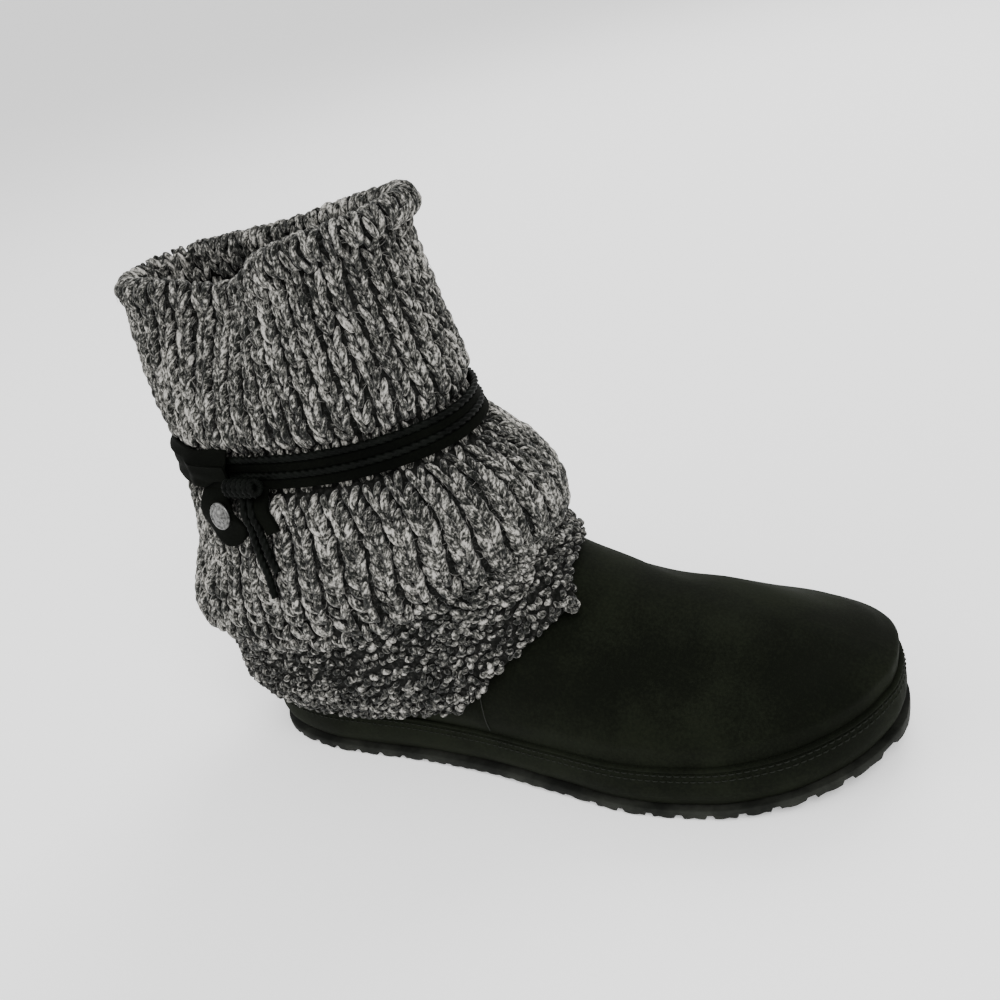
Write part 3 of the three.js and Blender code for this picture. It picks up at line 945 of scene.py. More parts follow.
def pill(name: str, path: Array, radii: Array, sides: int) -> Thing:
    """Makes a short rounded length of yarn or thread about its own origin.

    Args:
        name: the object's name.
        path: points along its middle, in millimetres, with Z outwards from the cloth.
        radii: its radius at each point.
        sides: corners of its section, the first on the under side.

    Returns:
        The object, in metres and outside the scene.
    """
    angles = 2 * np.pi * np.arange(sides) / sides - np.pi / 2
    section = np.stack([np.cos(angles), np.sin(angles)], -1)
    outwards = np.tile([0, 0, 1.0], (len(path), 1))
    points, faces = sweep(path, outwards, lambda i: section * radii[i], False)
    mesh = bpy.data.meshes.new(name)
    mesh.from_pydata((points * MM).tolist(), [], faces)
    mesh.polygons.foreach_set("use_smooth", [True] * len(mesh.polygons))
    thing = bpy.data.objects.new(name, mesh)
    along = np.concatenate([np.repeat(np.arange(len(path)), sides) / (len(path) - 1), [0, 1]])
    around = np.concatenate([np.tile(np.arange(sides) / sides, len(path)), [0, 0]])
    set_uv(thing, np.stack([along, around], -1))
    return thing


def settle(thing: Thing, slot: Slot, material: Finish, *nodes: str) -> None:
    """Dresses a finished piece and hands it to the frame.

    Args:
        thing: the piece.
        slot: not used.
        material: its finish.
        nodes: CAD nodes that it replaces.
    """
    thing.data.materials.clear()
    thing.data.materials.append(material)
    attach(thing, BODY)
    if nodes:
        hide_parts(*nodes)
    log.info("%s: %d faces", thing.name, len(thing.data.polygons))


# The boot's forms


@dataclass
class SoleForm:
    """The plan of the sole, its spring and its arch."""

    length: float = 262.0
    ball: float = 98.0
    spring_from: float = 0.72
    toe_spring: float = 9.0
    arch_rise: float = 5.0
    lateral_rise: float = 1.0

    def __post_init__(self) -> None:
        """Makes the outline's curves."""
        self.outline = column_curves("along lateral medial", [
            (0.0, 0.0, 0.0), (0.0025, 0.066, 0.066), (0.01, 0.133, 0.133), (0.035, 0.225, 0.225),
            (0.08, 0.296, 0.296), (0.17, 0.347, 0.347), (0.3, 0.357, 0.316), (0.42, 0.388, 0.286),
            (0.55, 0.449, 0.347), (0.68, 0.5, 0.469), (0.78, 0.48, 0.51), (0.87, 0.408, 0.469),
            (0.93, 0.306, 0.388), (0.97, 0.194, 0.286), (0.992, 0.082, 0.173), (0.998, 0.033, 0.094),
            (1.0, -0.03, 0.03)])
        self.arch = Curve([0, 0.24, 0.36, 0.46, 0.56, 0.65, 1], [0, 0, 0.6, 1, 0.6, 0, 0])

    def y(self, along: Array, side: Array) -> Array:
        """Sideways place on the sole: side +1 is the medial edge and -1 the lateral edge."""
        half = np.where(np.asarray(side) < 0, self.outline["lateral"](along), self.outline["medial"](along))
        return side * half * self.ball

    def spring(self, along: Array) -> Array:
        """How far the toe turns up."""
        return self.toe_spring * np.maximum(0, (along - self.spring_from) / (1 - self.spring_from)) ** 2

    def lift(self, along: Array, y: Array) -> Array:
        """Says how far the waist is arched off the ground.

        Args:
            along: shares of the sole's length.
            y: sideways places.

        Returns:
            The rise at each point.
        """
        low, high = self.y(along, -1.0), self.y(along, 1.0)
        across = np.clip((y - low) / np.maximum(high - low, 1e-6), 0, 1)
        return self.arch(along) * (self.lateral_rise + across * (self.arch_rise - self.lateral_rise))

    def around(self, steps: int) -> tuple[Array, Array]:
        """Stations and sides round the sole: heel to toe on the lateral side, back on the medial side."""
        along = (1 - np.cos(np.pi * np.arange(steps + 1) / steps)) / 2
        return np.concatenate([along, along[::-1]]), np.repeat([-1.0, 1.0], steps + 1)

    def ring(self, height: float, out: float, arch: float, steps: int) -> Array:
        """Draws the sole's outline at a height.

        Args:
            height: its height at the heel.
            out: how far it is moved out of the outline, or in where negative.
            arch: the share of the arch that it follows.
            steps: points on each side, less one.

        Returns:
            The points, with the heel's and the toe's point on both sides.
        """
        along, side = self.around(steps)
        near = 0.004
        before, after = np.maximum(0, along - near), np.minimum(1, along + near)
        run = (after - before) * self.length
        rise = self.y(after, side) - self.y(before, side)
        length = np.hypot(run, rise)
        x = along * self.length + out * -side * rise / length
        y = self.y(along, side) + out * side * run / length
        share = np.clip(x / self.length, 0, 1)
        return np.stack([x, y, height + self.spring(share) + arch * self.lift(share, y)], -1)

    def single_ring(self, height: float, out: float, arch: float, steps: int) -> Array:
        """The same outline, with the heel's and the toe's point only once."""
        return np.delete(self.ring(height, out, arch, steps), [steps + 1, 2 * steps + 1], axis=0)


@dataclass
class FootForm:
    """The suede foot on its last.

    A place on it is a share of the way from heel to toe, a side as on the sole, and a ring, from 0 at the
    seam up to 8 at the collar.

    Attributes:
        sole: the sole that it stands on.
        seam: the seam's height.
        collar: the collar's height.
        rings: the topmost ring.
        fore: where the width goes over from the heel's to the forefoot's, as shares of the length.
    """

    sole: SoleForm
    seam: float = 21.8
    collar: float = 92.0
    rings: int = 8
    fore: tuple[float, float] = (0.38, 0.72)

    def __post_init__(self) -> None:
        """Makes the last's curves."""
        self.c = column_curves("ring back front backZ sideZ frontZ heel fore round springs", [
            (0, 0.005, 0.995, 0, 0, 0, 0.975, 0.975, 0, 1),
            (1, -0.004, 0.998, 0.117, 0.11, 0.09, 1.005, 0.97, 0, 1),
            (2, -0.01, 0.98, 0.26, 0.224, 0.2, 0.985, 0.86, 0, 0.7),
            (3, -0.011, 0.93, 0.4, 0.345, 0.315, 0.925, 0.71, 0.05, 0.5),
            (4, -0.006, 0.865, 0.544, 0.473, 0.445, 0.83, 0.56, 0.15, 0.3),
            (5, 0.003, 0.75, 0.672, 0.6, 0.555, 0.75, 0.45, 0.35, 0.1),
            (6, 0.011, 0.641, 0.786, 0.73, 0.67, 0.71, 0.47, 0.6, 0),
            (7, 0.018, 0.561, 0.9, 0.872, 0.82, 0.7, 0.6, 0.8, 0),
            (8, 0.024, 0.504, 1, 0.986, 1, 0.7, 0.7, 1, 0)])

    def point(self, along: Array, side: Array, ring: Array) -> Array:
        """Places points on the outer face.

        Args:
            along: shares of the way from heel to toe.
            side: +1 for the medial side and -1 for the lateral side.
            ring: rings up from the seam.

        Returns:
            The points.
        """
        along, side, ring = together(along, side, ring)
        c = {name: curve(ring) for name, curve in self.c.items()}
        length = self.sole.length
        x = (c["back"] + (c["front"] - c["back"]) * along) * length
        oval = side * np.sqrt(np.maximum(0, 4 * along * (1 - along))) * 0.5 * self.sole.ball
        width = c["heel"] + (c["fore"] - c["heel"]) * smooth(*self.fore, x / length)
        plan = self.sole.y(along, side)
        y = width * (plan + (oval - plan) * c["round"])
        share = self.through_three(along, c["backZ"], c["sideZ"], c["frontZ"])
        springs = self.sole.spring(np.minimum(1, x / length)) * c["springs"]
        return np.stack([x, y, self.seam + share * (self.collar - self.seam) + springs], -1)

    @staticmethod
    def through_three(at: Array, low: Array, mid: Array, high: Array) -> Array:
        """Reads the smooth curve through three heights that differ from place to place.

        Args:
            at: stations on the curve.
            low: the height at station 0.
            mid: the height at station 0.5.
            high: the height at station 1.

        Returns:
            The height at each station.
        """
        first, second = (mid - low) / 0.5, (high - mid) / 0.5
        same = first * second > 0
        mean = np.where(same, 2 * first * second / np.where(same, first + second, 1), 0)
        late = at > 0.5
        t = np.clip((at - 0.5 * late) / 0.5, 0, 1)
        values = np.where(late, mid, low), np.where(late, high, mid)
        slopes = np.where(late, mean, first), np.where(late, second, mean)
        return between(t, 0.5, values, slopes)

    def normal(self, along: Array, side: Array, ring: Array) -> Array:
        """Finds outward normals of the outer face.

        Args:
            along: shares of the way from heel to toe.
            side: +1 for the medial side and -1 for the lateral side.
            ring: rings up from the seam.

        Returns:
            The normals, which have no sideways part at the heel and the toe.
        """
        along, side, ring = together(along, side, ring)
        end, near, near_ring = 0.004, 0.003, 0.01
        inside = np.clip(along, end, 1 - end)
        low, high = np.maximum(0, ring - near_ring), np.minimum(self.rings, ring + near_ring)
        ahead = self.point(inside + near, side, ring) - self.point(inside - near, side, ring)
        upward = self.point(inside, side, high) - self.point(inside, side, low)
        n = unit(np.cross(ahead, upward) * np.where(side < 0, 1, -1)[..., None])
        n[inside != along, 1] = 0
        return unit(n)


@dataclass(frozen=True)
class Dent:
    """A hollow that sinks into the knit's side.

    Attributes:
        around: its middle, as a share of the way round.
        level: its middle's level in millimetres.
        wide: half its width, as a share of the way round.
        tall: half its height in millimetres.
        depth: its depth, as a share of the shaft's width.
        fall: how far the cloth sinks in it, as a share of the boot's height.
    """

    around: float
    level: float
    wide: float
    tall: float
    depth: float
    fall: float


@dataclass
class KnitForm:
    """The knit shaft's outer face, from the hem's edge up to the rim, and over it down the inside.

    A place on it is a share of the way round (0 at the back, 0.25 lateral, 0.5 front) and a level, in
    millimetres up the knit. Past the rim the level goes on over the rolled edge and down the inner face.

    Attributes:
        length: the length that the sections' shares refer to.
        width: the width that they refer to.
        axis: where the sections' shares start.
        roll: the rolled rim's radius.
        hem_middle: the level at the middle of the hem band.
        hem_off: how far the hem's edge stands off the suede.
        under: how much further than the hem's own table its middle stands off.
    """

    foot: FootForm
    height: float = 217.0
    length: float = 126.0
    width: float = 80.0
    axis: float = 63.0
    rim: float = 202.0
    roll: float = 3.5
    hem_middle: float = 18.0
    hem_off: float = 4.2
    under: float = 4.0
    steps: int = 1200
    level_step: float = 0.5
    dents: tuple[Dent, ...] = (
        Dent(0.22, 200, 0.068, 42, 0.17, 0.052),
        Dent(0.33, 70, 0.05, 13, 0.03, 0),
        Dent(0.1, 75, 0.04, 12, 0.03, 0),
        Dent(0.76, 200, 0.12, 50, 0.09, 0.01),
    )

    def __post_init__(self) -> None:
        """Samples the whole face once on a dense grid."""
        hem = column_curves("along edge middle rise off", [
            (0, 0.55, 1.6, 0, 3.5), (0.2, 0.3, 1.6, 0.3, 5), (0.42, 1.4, 3.0, 0.7, 6),
            (0.505, 2.8, 4.2, 0.6, 6), (0.61, 4.1, 5.2, 0.6, 6), (0.78, 5.2, 6.1, 0.6, 5.5),
            (0.9, 5.8, 6.7, 0.6, 5), (1, 6.75, 7.4, 0, 4)])
        # Level, then centre, half length, width, back, side and front height, and fullness.
        sections = [
            (36, 0.055, 0.625, 1.22, 0.24, 0.3, 0.43, 2.2),
            (47, 0.01, 0.67, 1.29, 0.3, 0.36, 0.465, 2.2),
            (60, 0.024, 0.638, 1.3, 0.37, 0.42, 0.5, 2.15),
            (78, 0.04, 0.59, 1.25, 0.45, 0.483, 0.53, 2.1),
            (95, 0.03, 0.548, 1.15, 0.52, 0.54, 0.56, 2.1),
            (104, 0.012, 0.522, 1.1, 0.558, 0.57, 0.582, 2.1),
            (110, 0, 0.492, 0.97, 0.586, 0.597, 0.606, 2.1),
            (117, -0.008, 0.48, 0.94, 0.614, 0.627, 0.634, 2.1),
            (124, -0.012, 0.479, 0.94, 0.641, 0.656, 0.662, 2.1),
            (131, -0.014, 0.492, 1.01, 0.672, 0.688, 0.697, 2.1),
            (155, -0.036, 0.49, 0.92, 0.76, 0.783, 0.802, 2.2),
            (176, -0.043, 0.483, 0.8, 0.838, 0.868, 0.9, 2.3),
            (187, -0.043, 0.48, 0.74, 0.878, 0.908, 0.945, 2.3),
            (195, -0.028, 0.505, 0.77, 0.91, 0.943, 0.978, 2.3),
            (199, -0.028, 0.5, 0.74, 0.923, 0.959, 0.994, 2.3),
            (202, -0.028, 0.482, 0.68, 0.93, 0.967, 1.0, 2.3),
        ]
        loops = [
            self.hem_loop(hem, "edge", lambda along: self.hem_off + 0 * along),
            self.hem_loop(hem, "middle", lambda along: hem["off"](along) + self.under),
        ]
        loops += [self.section(*row[1:]) for row in sections]
        levels = [0, self.hem_middle] + [row[0] for row in sections]
        shares = np.arange(self.steps) / self.steps
        self.levels = np.arange(0, self.rim + 0.01, self.level_step)
        self.grid = Curve(levels, np.stack([by_length(loop, shares) for loop in loops]))(self.levels)
        for dent in self.dents:
            self.press_in(dent, shares)
        near_share, near_level = 0.004, 1.5
        k, m = round(near_share * self.steps), round(near_level / self.level_step)
        across = np.roll(self.grid, -k, 1) - np.roll(self.grid, k, 1)
        index = np.arange(len(self.levels))
        upward = self.grid[np.minimum(index + m, index[-1])] - self.grid[np.maximum(index - m, 0)]
        self.normals = unit(np.cross(across, upward))
        self.girths = np.linalg.norm(np.roll(self.grid, -1, 1) - self.grid, axis=-1).sum(1)
        self.wall = Curve([0, 12, 180, 187], [3, 4, 4, 7])

    def press_in(self, dent: Dent, shares: Array) -> None:
        """Sinks a dent into the sampled grid.

        Args:
            dent: the dent.
            shares: the grid's places round the knit.
        """
        apart = shares - dent.around - np.round(shares - dent.around)
        strength = bell(self.levels - dent.level, dent.tall)[:, None] * bell(apart, dent.wide)[None, :]
        sign = np.where(self.grid[..., 1] == 0, -1, np.sign(self.grid[..., 1]))
        self.grid[..., 1] -= sign * strength * dent.depth * self.width
        self.grid[..., 2] -= strength * dent.fall * self.height

    def hem_loop(self, hem: dict[str, Curve], column: str, off: Callable[[Array], Array]) -> Array:
        """Draws a loop that the hem follows on the suede foot.

        Args:
            hem: the hem's curves, against the share of the way from heel to toe.
            column: the curve that gives the loop's ring on the foot.
            off: how far the loop stands off the suede.

        Returns:
            The loop's points.
        """
        t = np.arange(120) / 120
        halves = []
        for sign in (-1.0, 1.0):
            turn = t if sign < 0 else 1 - t
            along = (1 - np.cos(np.pi * turn)) / 2
            ring = np.minimum(self.foot.rings, hem[column](along) + (hem["rise"](along) if sign > 0 else 0))
            side = np.full_like(along, sign)
            normal = self.foot.normal(along, side, ring)
            halves.append(self.foot.point(along, side, ring) + normal * off(along)[:, None])
        return np.concatenate(halves)

    def section(self, centre: float, half: float, width: float, back: float, side: float, front: float,
                full: float) -> Array:
        """Draws one level section of the shaft.

        Args:
            centre: its centre, from the axis, as a share of the length.
            half: half its length, as a share of the length.
            width: its width, as a share of the width.
            back: its height at the back, as a share of the height.
            side: its height at the sides.
            front: its height at the front.
            full: its fullness: 2 for an ellipse, and more for a squarer loop.

        Returns:
            The loop's points, from the back round the lateral side.
        """
        angle = np.pi * np.arange(240) / 120
        power = 2 / full
        fore = -np.sign(np.cos(angle)) * np.abs(np.cos(angle)) ** power
        aside = -np.sign(np.sin(angle)) * np.abs(np.sin(angle)) ** power
        x = self.axis + (centre + half * fore) * self.length
        z = Curve([0, 0.5, 1], [back, side, front])((1 + fore) / 2) * self.height
        return np.stack([x, aside * width * self.width / 2, z], -1)

    def _sample(self, data: Array, around: Array, level: Array) -> Array:
        """Reads a sampled grid between its samples.

        Args:
            data: the grid.
            around: shares of the way round.
            level: levels up to the rim.

        Returns:
            The grid's value at each place.
        """
        around, level = together(around, level)
        u = (around % 1) * self.steps
        v = np.clip(level, 0, self.rim) / self.level_step
        i, j = np.floor(u).astype(int), np.minimum(np.floor(v).astype(int), len(self.levels) - 2)
        a, b = (u - i)[..., None], (v - j)[..., None]
        i0, i1 = i % self.steps, (i + 1) % self.steps
        return ((1 - b) * ((1 - a) * data[j, i0] + a * data[j, i1])
                + b * ((1 - a) * data[j + 1, i0] + a * data[j + 1, i1]))

    def girth(self, level: Array) -> Array:
        """The knit's length round the leg at a level."""
        return np.interp(level, self.levels, self.girths)

    def over(self, around: Array, level: Array, out: Array) -> Array:
        """Points that lie `out` from the outer face."""
        point = self._sample(self.grid, around, level)
        return point + unit(self._sample(self.normals, around, level)) * np.asarray(out)[..., None]

    def normal(self, around: Array, level: Array) -> Array:
        """Outward normals."""
        return unit(self._sample(self.normals, around, level))

    def cloth(self, around: Array, level: Array, out: Array) -> Array:
        """Points over the knit's whole visible face: the outer face, the rolled rim and the inner face.

        Args:
            around: shares of the way round.
            level: millimetres up the knit, past the rim over the roll and down the inside.
            out: millimetres off the face.

        Returns:
            The points.
        """
        around, level, out = together(around, level, out)
        top = self.rim - self.roll
        turn = np.clip((level - top) / self.roll, 0, np.pi)
        inside = np.maximum(level - top - np.pi * self.roll, 0)
        at = np.minimum(level, top) - inside
        base = self._sample(self.grid, around, at)
        n = self.normal(around, at)
        near = self._sample(self.grid, around, np.clip(at - 1, 0, self.rim))
        up = unit(self._sample(self.grid, around, np.clip(at + 1, 0, self.rim)) - near)
        up = square_to(up, n)
        depth = np.where(inside > 0, self.wall(at) - 2 * self.roll, 0.0)
        centre = base - n * self.roll
        reach = (self.roll + out)[..., None]
        arc = centre + reach * (np.cos(turn)[..., None] * n + np.sin(turn)[..., None] * up)
        return arc - n * depth[..., None]

    def basis(self, around: Array, level: Array) -> Array:
        """Finds how a stitch lies on the visible face.

        Args:
            around: shares of the way round.
            level: levels, past the rim too.

        Returns:
            A matrix for each place, whose columns point sideways, upwards and outwards.
        """
        near_share, near_level = 0.002, 0.7
        a = unit(self.cloth(around + near_share, level, 0.0) - self.cloth(around - near_share, level, 0.0))
        u = self.cloth(around, level + near_level, 0.0) - self.cloth(around, level - near_level, 0.0)
        u = square_to(u, a)
        return np.stack([a, u, np.cross(a, u)], -1)


# Sole


@dataclass
class Sole:
    """The rubber outsole, the suede-wrapped platform and the footbed.

    Attributes:
        lip: how far the outsole stands out of the platform's plan.
        lug_draft: the length of a lug's sloping sides.
        gap: between the outsole and the platform.
        tuck: how far the platform is tucked in at its foot.
        bulge: how far its side bulges.
        top_tuck: how far its top edge turns in under the seam.
        slack: the height of the faint waves in the wrap.
        scallop: the depth of a nick.
        stitch_drop: from the platform's top down to the first row of stitches.
        stitch_rows: from the first row of stitches to the second.
    """

    form: SoleForm
    finishes: Finishes
    thickness: float = 4.0
    lip: float = 0.9
    lug_depth: float = 1.6
    lug_pitch: float = 11.0
    lug_length: float = 7.4
    lug_draft: float = 0.6
    edge_round: float = 1.2
    platform: float = 21.5
    gap: float = 0.5
    tuck: float = 2.4
    bulge: float = 0.8
    top_tuck: float = 1.8
    slack: float = 0.16
    scallop_pitch: float = 6.5
    scallop: float = 0.55
    stitch_pitch: float = 2.7
    stitch_drop: float = 1.7
    stitch_rows: float = 2.3
    thread: Colour = (0.0065, 0.0075, 0.0055)

    def stations(self) -> Array:
        """Chooses the outsole's stations: close at its two ends and at the sides of each lug.

        Returns:
            The stations, in millimetres from the heel.
        """
        length = self.form.length
        ends = np.array([0, 0.25, 0.6, 1.2, 2, 3.2, 4.5, 6.2, 8])
        edges = [*(ends - self.lip), *(length + self.lip - ends), *np.arange(0, length, 1.1)]
        half = self.lug_length / 2
        for k in range(-4, 20):
            for side in (-half - self.lug_draft, -half, half, half + self.lug_draft):
                edges.append(HEEL_CENTRE + k * self.lug_pitch + side)
        return np.unique(np.round([e for e in edges if -self.lip <= e <= length + self.lip], 3))

    def outsole(self) -> tuple[Array, list]:
        """Draws the outsole as a section at each station, with its cross lugs and nicked edge.

        Returns:
            Points and faces.
        """
        f = self.form
        x = self.stations()
        along = (x + self.lip) / (f.length + 2 * self.lip)
        share = np.clip(x / f.length, 0, 1)
        from_lug = np.abs(x - HEEL_CENTRE - np.round((x - HEEL_CENTRE) / self.lug_pitch) * self.lug_pitch)
        groove = smooth(self.lug_length / 2, self.lug_length / 2 + self.lug_draft, from_lug)
        under = self.lug_depth * groove * (1 - f.arch(share))
        wave = 0.5 + 0.5 * np.sin(2 * np.pi * x / self.scallop_pitch + 1.4 * np.sin(x / 17.0))
        low = np.maximum(under, self.scallop * wave ** 2)
        r = self.edge_round
        loop = []
        for side in (-1.0, 1.0):
            half = side * f.y(along, side) + self.lip
            column = [(half * reach, under) for reach in (0.45, 0.8, 0.93)]
            for turn in (0.0, 0.35, 0.7, 1.0):
                a = turn * np.pi / 2
                column.append((half - r + r * math.sin(a), low + r * (1 - math.cos(a))))
            for inset, drop in ((0, 0.9), (0.35, 0.2), (0.9, 0)):
                column.append((half - inset, self.thickness - drop))
            column.append((half * 0.6, self.thickness))
            for reach, height in column[::int(-side)]:
                y = side * np.maximum(reach, 0)
                loop.append(np.stack([x, y, height + f.spring(share) + f.lift(share, y)], -1))
        points, faces = plate(np.stack(loop, 1))
        return points, flip(faces)

    def wrap(self) -> tuple[Array, list]:
        """Draws the wrapped platform, with faint slackness in its suede.

        Returns:
            Points and faces.
        """
        foot = self.thickness + self.gap
        tall = self.platform - foot
        share = [0, 0.05, 0.16, 0.29, 0.42, 0.57, 0.72, 0.82, 0.9, 0.955, 0.985, 1.0]
        places = [0, 0.16, 0.42, 0.72, 0.955, 1.0]
        sides = [-self.tuck, -0.3 * self.tuck, self.bulge, 0.8 * self.bulge, 0, -self.top_tuck]
        out = Curve(places, sides)(share)
        arch = Curve(places, [1, 0.85, 0.5, 0.2, 0, 0])(share)
        rings = []
        for s, o, a in zip(share, out, arch):
            ring = self.form.ring(foot + s * tall, float(o), float(a), 260)
            x = ring[:, 0]
            slack = self.slack * np.sin(x / 9.0 + 4 * s) * np.sin(x / 23.0 + 1.7) * math.sin(math.pi * s)
            ring[:, :2] += unit(ring[:, :2] - (x.mean(), 0)) * slack[:, None]
            rings.append(ring)
        return plate(rings)

    def build(self) -> None:
        """Makes and dresses the sole's pieces."""
        suede = self.finishes(SuedeFinish())
        outsole = new_object("outsole_rubber", *self.outsole())
        outward_faces(outsole)
        settle(outsole, Slot.RUBBER, self.finishes(RubberFinish()), "outsole")
        wrap = new_object("platform_wrap", *self.wrap())
        outward_faces(wrap)
        settle(wrap, Slot.SUEDE, suede, "midsole")
        self.welt(suede)
        self.stitches()
        self.footbed()

    def welt(self, suede: Finish) -> None:
        """Makes the ridge of folded suede in the seam between the foot and the platform.

        Args:
            suede: its finish.
        """
        below, inset = 0.1, 0.55
        ring = self.form.single_ring(self.platform - below, -inset, 0.0, 200)
        middle = np.array([self.form.length / 2, 0, 0])
        out = unit((ring - middle) * (1, 1, 0))
        section = disc(0.75, 1.05, 10)
        points, faces = sweep(ring, out, lambda i: section, True)
        settle(new_object("seam_welt", points, faces), Slot.SUEDE, suede)

    def stitches(self) -> None:
        """Sews two rows of small stitches just under the seam."""
        straight = np.stack([np.linspace(-1.05, 1.05, 5), np.zeros(5), [-0.12, 0.1, 0.16, 0.1, -0.12]], -1)
        shape = pill("thread_stitch", straight, np.array([0.16, 0.24, 0.26, 0.24, 0.16]), 6)
        places, turns = [], []
        for below, out in ((self.stitch_drop, 0.42), (self.stitch_drop + self.stitch_rows, 0.62)):
            ring = self.form.single_ring(self.platform - below, out, 0.05, 900)
            girth = np.linalg.norm(np.roll(ring, -1, 0) - ring, axis=1).sum()
            count = int(girth / self.stitch_pitch)
            at = (np.arange(count) + 0.5) / count
            p = by_length(ring, at)
            a = unit(by_length(ring, at + 1 / girth) - p)
            n = unit(np.cross(a, np.tile([0, 0, 1.0], (count, 1))))
            places.append(p)
            turns.append(euler_of(np.stack([a, np.cross(n, a), n], -1)))
        laid = Laid(np.vstack(places), np.vstack(turns), np.ones((sum(map(len, places)), 3)))
        thread = self.finishes(ThreadFinish(colour=self.thread))
        rows = Scatter("platform_stitching", seed=4, tilt=0.05, vary=0.06)
        made = rows.grow("platform_stitches", laid, shape, thread)
        bpy.data.objects.remove(shape)
        settle(made, Slot.SUEDE, thread)

    def footbed(self) -> None:
        """Makes the felt footbed."""
        seam = self.platform + 0.3
        rings = [self.form.ring(seam + height, out, 0.0, 80) for height, out in (
            (0.02, -5.5), (1.2, -5.3), (2.2, -5.2), (2.7, -5.6), (2.95, -6.6))]
        bed = new_object("felt_footbed", *plate(rings))
        outward_faces(bed)
        settle(bed, Slot.LINING, self.finishes(FeltFinish()), "insole")


# Suede foot


@dataclass(frozen=True)
class Crease:
    """A hollow or fold in the suede, seen from above.

    Attributes:
        start: its first end (x, y) in millimetres.
        end: its other end.
        wide: half its width.
        depth: how deep it is; negative for a raised fold.
    """

    start: tuple[float, float]
    end: tuple[float, float]
    wide: float
    depth: float


@dataclass
class SuedeFoot:
    """The suede foot: vamp and quarter in one wall, with creases placed one by one.

    Attributes:
        step: how much the quarter stands out behind the side seam.
        seam_at: where the side seam is, as a share of the length.
        lap: the length of the step, as a share of the length.
        uneven: the height of the suede's broad unevenness.
    """

    form: FootForm
    finishes: Finishes
    wall: float = 2.0
    step: float = 0.7
    seam_at: float = 0.455
    lap: float = 0.006
    uneven: float = 0.22
    thread: Colour = (0.012, 0.013, 0.011)
    creases: tuple[Crease, ...] = (
        Crease((196, -38), (176, 34), 13, 1.5),
        Crease((214, -30), (206, 26), 7, 0.55),
        Crease((182, -40), (168, -8), 5, 0.6),
        Crease((231, -24), (236, 20), 6, 0.35),
        Crease((186, -44), (160, -44), 9, -0.5),
        Crease((150, -38), (172, -47), 6, 0.45),
        Crease((246, -16), (250, 16), 4, 0.25),
    )

    def relief(self, points: Array, normals: Array) -> Array:
        """Says how far the creases move the suede along its normals.

        Args:
            points: points of the outer face.
            normals: its normals there.

        Returns:
            The move of each point.
        """
        move = np.zeros(points.shape[:-1])
        top = smooth(0.0, 0.55, normals[..., 2]) * 0.75 + 0.25
        for crease in self.creases:
            start, end = np.array(crease.start), np.array(crease.end)
            run = end - start
            t = np.clip(((points[..., :2] - start) @ run) / (run @ run), 0, 1)
            near = np.linalg.norm(points[..., :2] - (start + t[..., None] * run), axis=-1)
            fade = smooth(0, 0.25, t) * smooth(0, 0.25, 1 - t) * 0.7 + 0.3
            move -= crease.depth * bell(near, crease.wide) * fade * top
        x, y, z = points[..., 0], points[..., 1], points[..., 2]
        move += self.uneven * np.sin(x / 15.0 + y / 19.0) * np.sin(y / 13.0 + z / 17.0 + 0.6)
        return move * smooth(22, 30, z)

    def build(self) -> None:
        """Makes and dresses the suede foot and its seams."""
        f = self.form
        steps = 150
        along, side = (np.delete(values, [steps + 1, 2 * steps + 1]) for values in f.sole.around(steps))
        rings = []
        for ring in np.concatenate([[0, 0.06, 0.15], np.linspace(0.3, f.rings, 70)]):
            p, n = f.point(along, side, ring), f.normal(along, side, ring)
            x = p[:, 0] / f.sole.length
            behind = 1 - smooth(self.seam_at - self.lap / 2, self.seam_at + self.lap / 2, x)
            step = self.step * behind * smooth(0, 1, ring) * (1 - smooth(4, 6, ring))
            rings.append(p + n * (step + self.relief(p, n))[:, None])
        for ring in (8.0, 7.0, 6.0, 5.2, 4.5, 3.8, 3.0, 2.2, 1.5, 0.7, 0.0):
            rings.append(f.point(along, side, ring) - f.normal(along, side, ring) * self.wall)
        rings[-1][:, 2] = rings[0][:, 2]
        foot = new_object("suede_foot", np.concatenate(rings), ring_faces(len(rings), len(along), True))
        settle(foot, Slot.SUEDE, self.finishes(SuedeFinish()), "upper")
        self.side_seams()

    def side_seams(self) -> None:
        """Lays the pale thread that shows in the side seam, on both sides."""
        f = self.form
        ring = np.linspace(0.25, 4.6, 60)
        back, front = f.c["back"](ring), f.c["front"](ring)
        behind_lap, proud = 0.0012, 0.36
        along = (self.seam_at + behind_lap - back) / (front - back)
        section = disc(0.2, 0.16, 6)
        parts = []
        for side in (-1.0, 1.0):
            p, n = f.point(along, side, ring), f.normal(along, side, ring)
            p = p + n * (proud + self.relief(p, n))[:, None]
            parts.append(sweep(p, n, lambda i: section, False))
        made = new_object("side_seam_thread", *join_parts(parts))
        settle(made, Slot.SUEDE, self.finishes(ThreadFinish("seam_thread", self.thread)))


# Knit


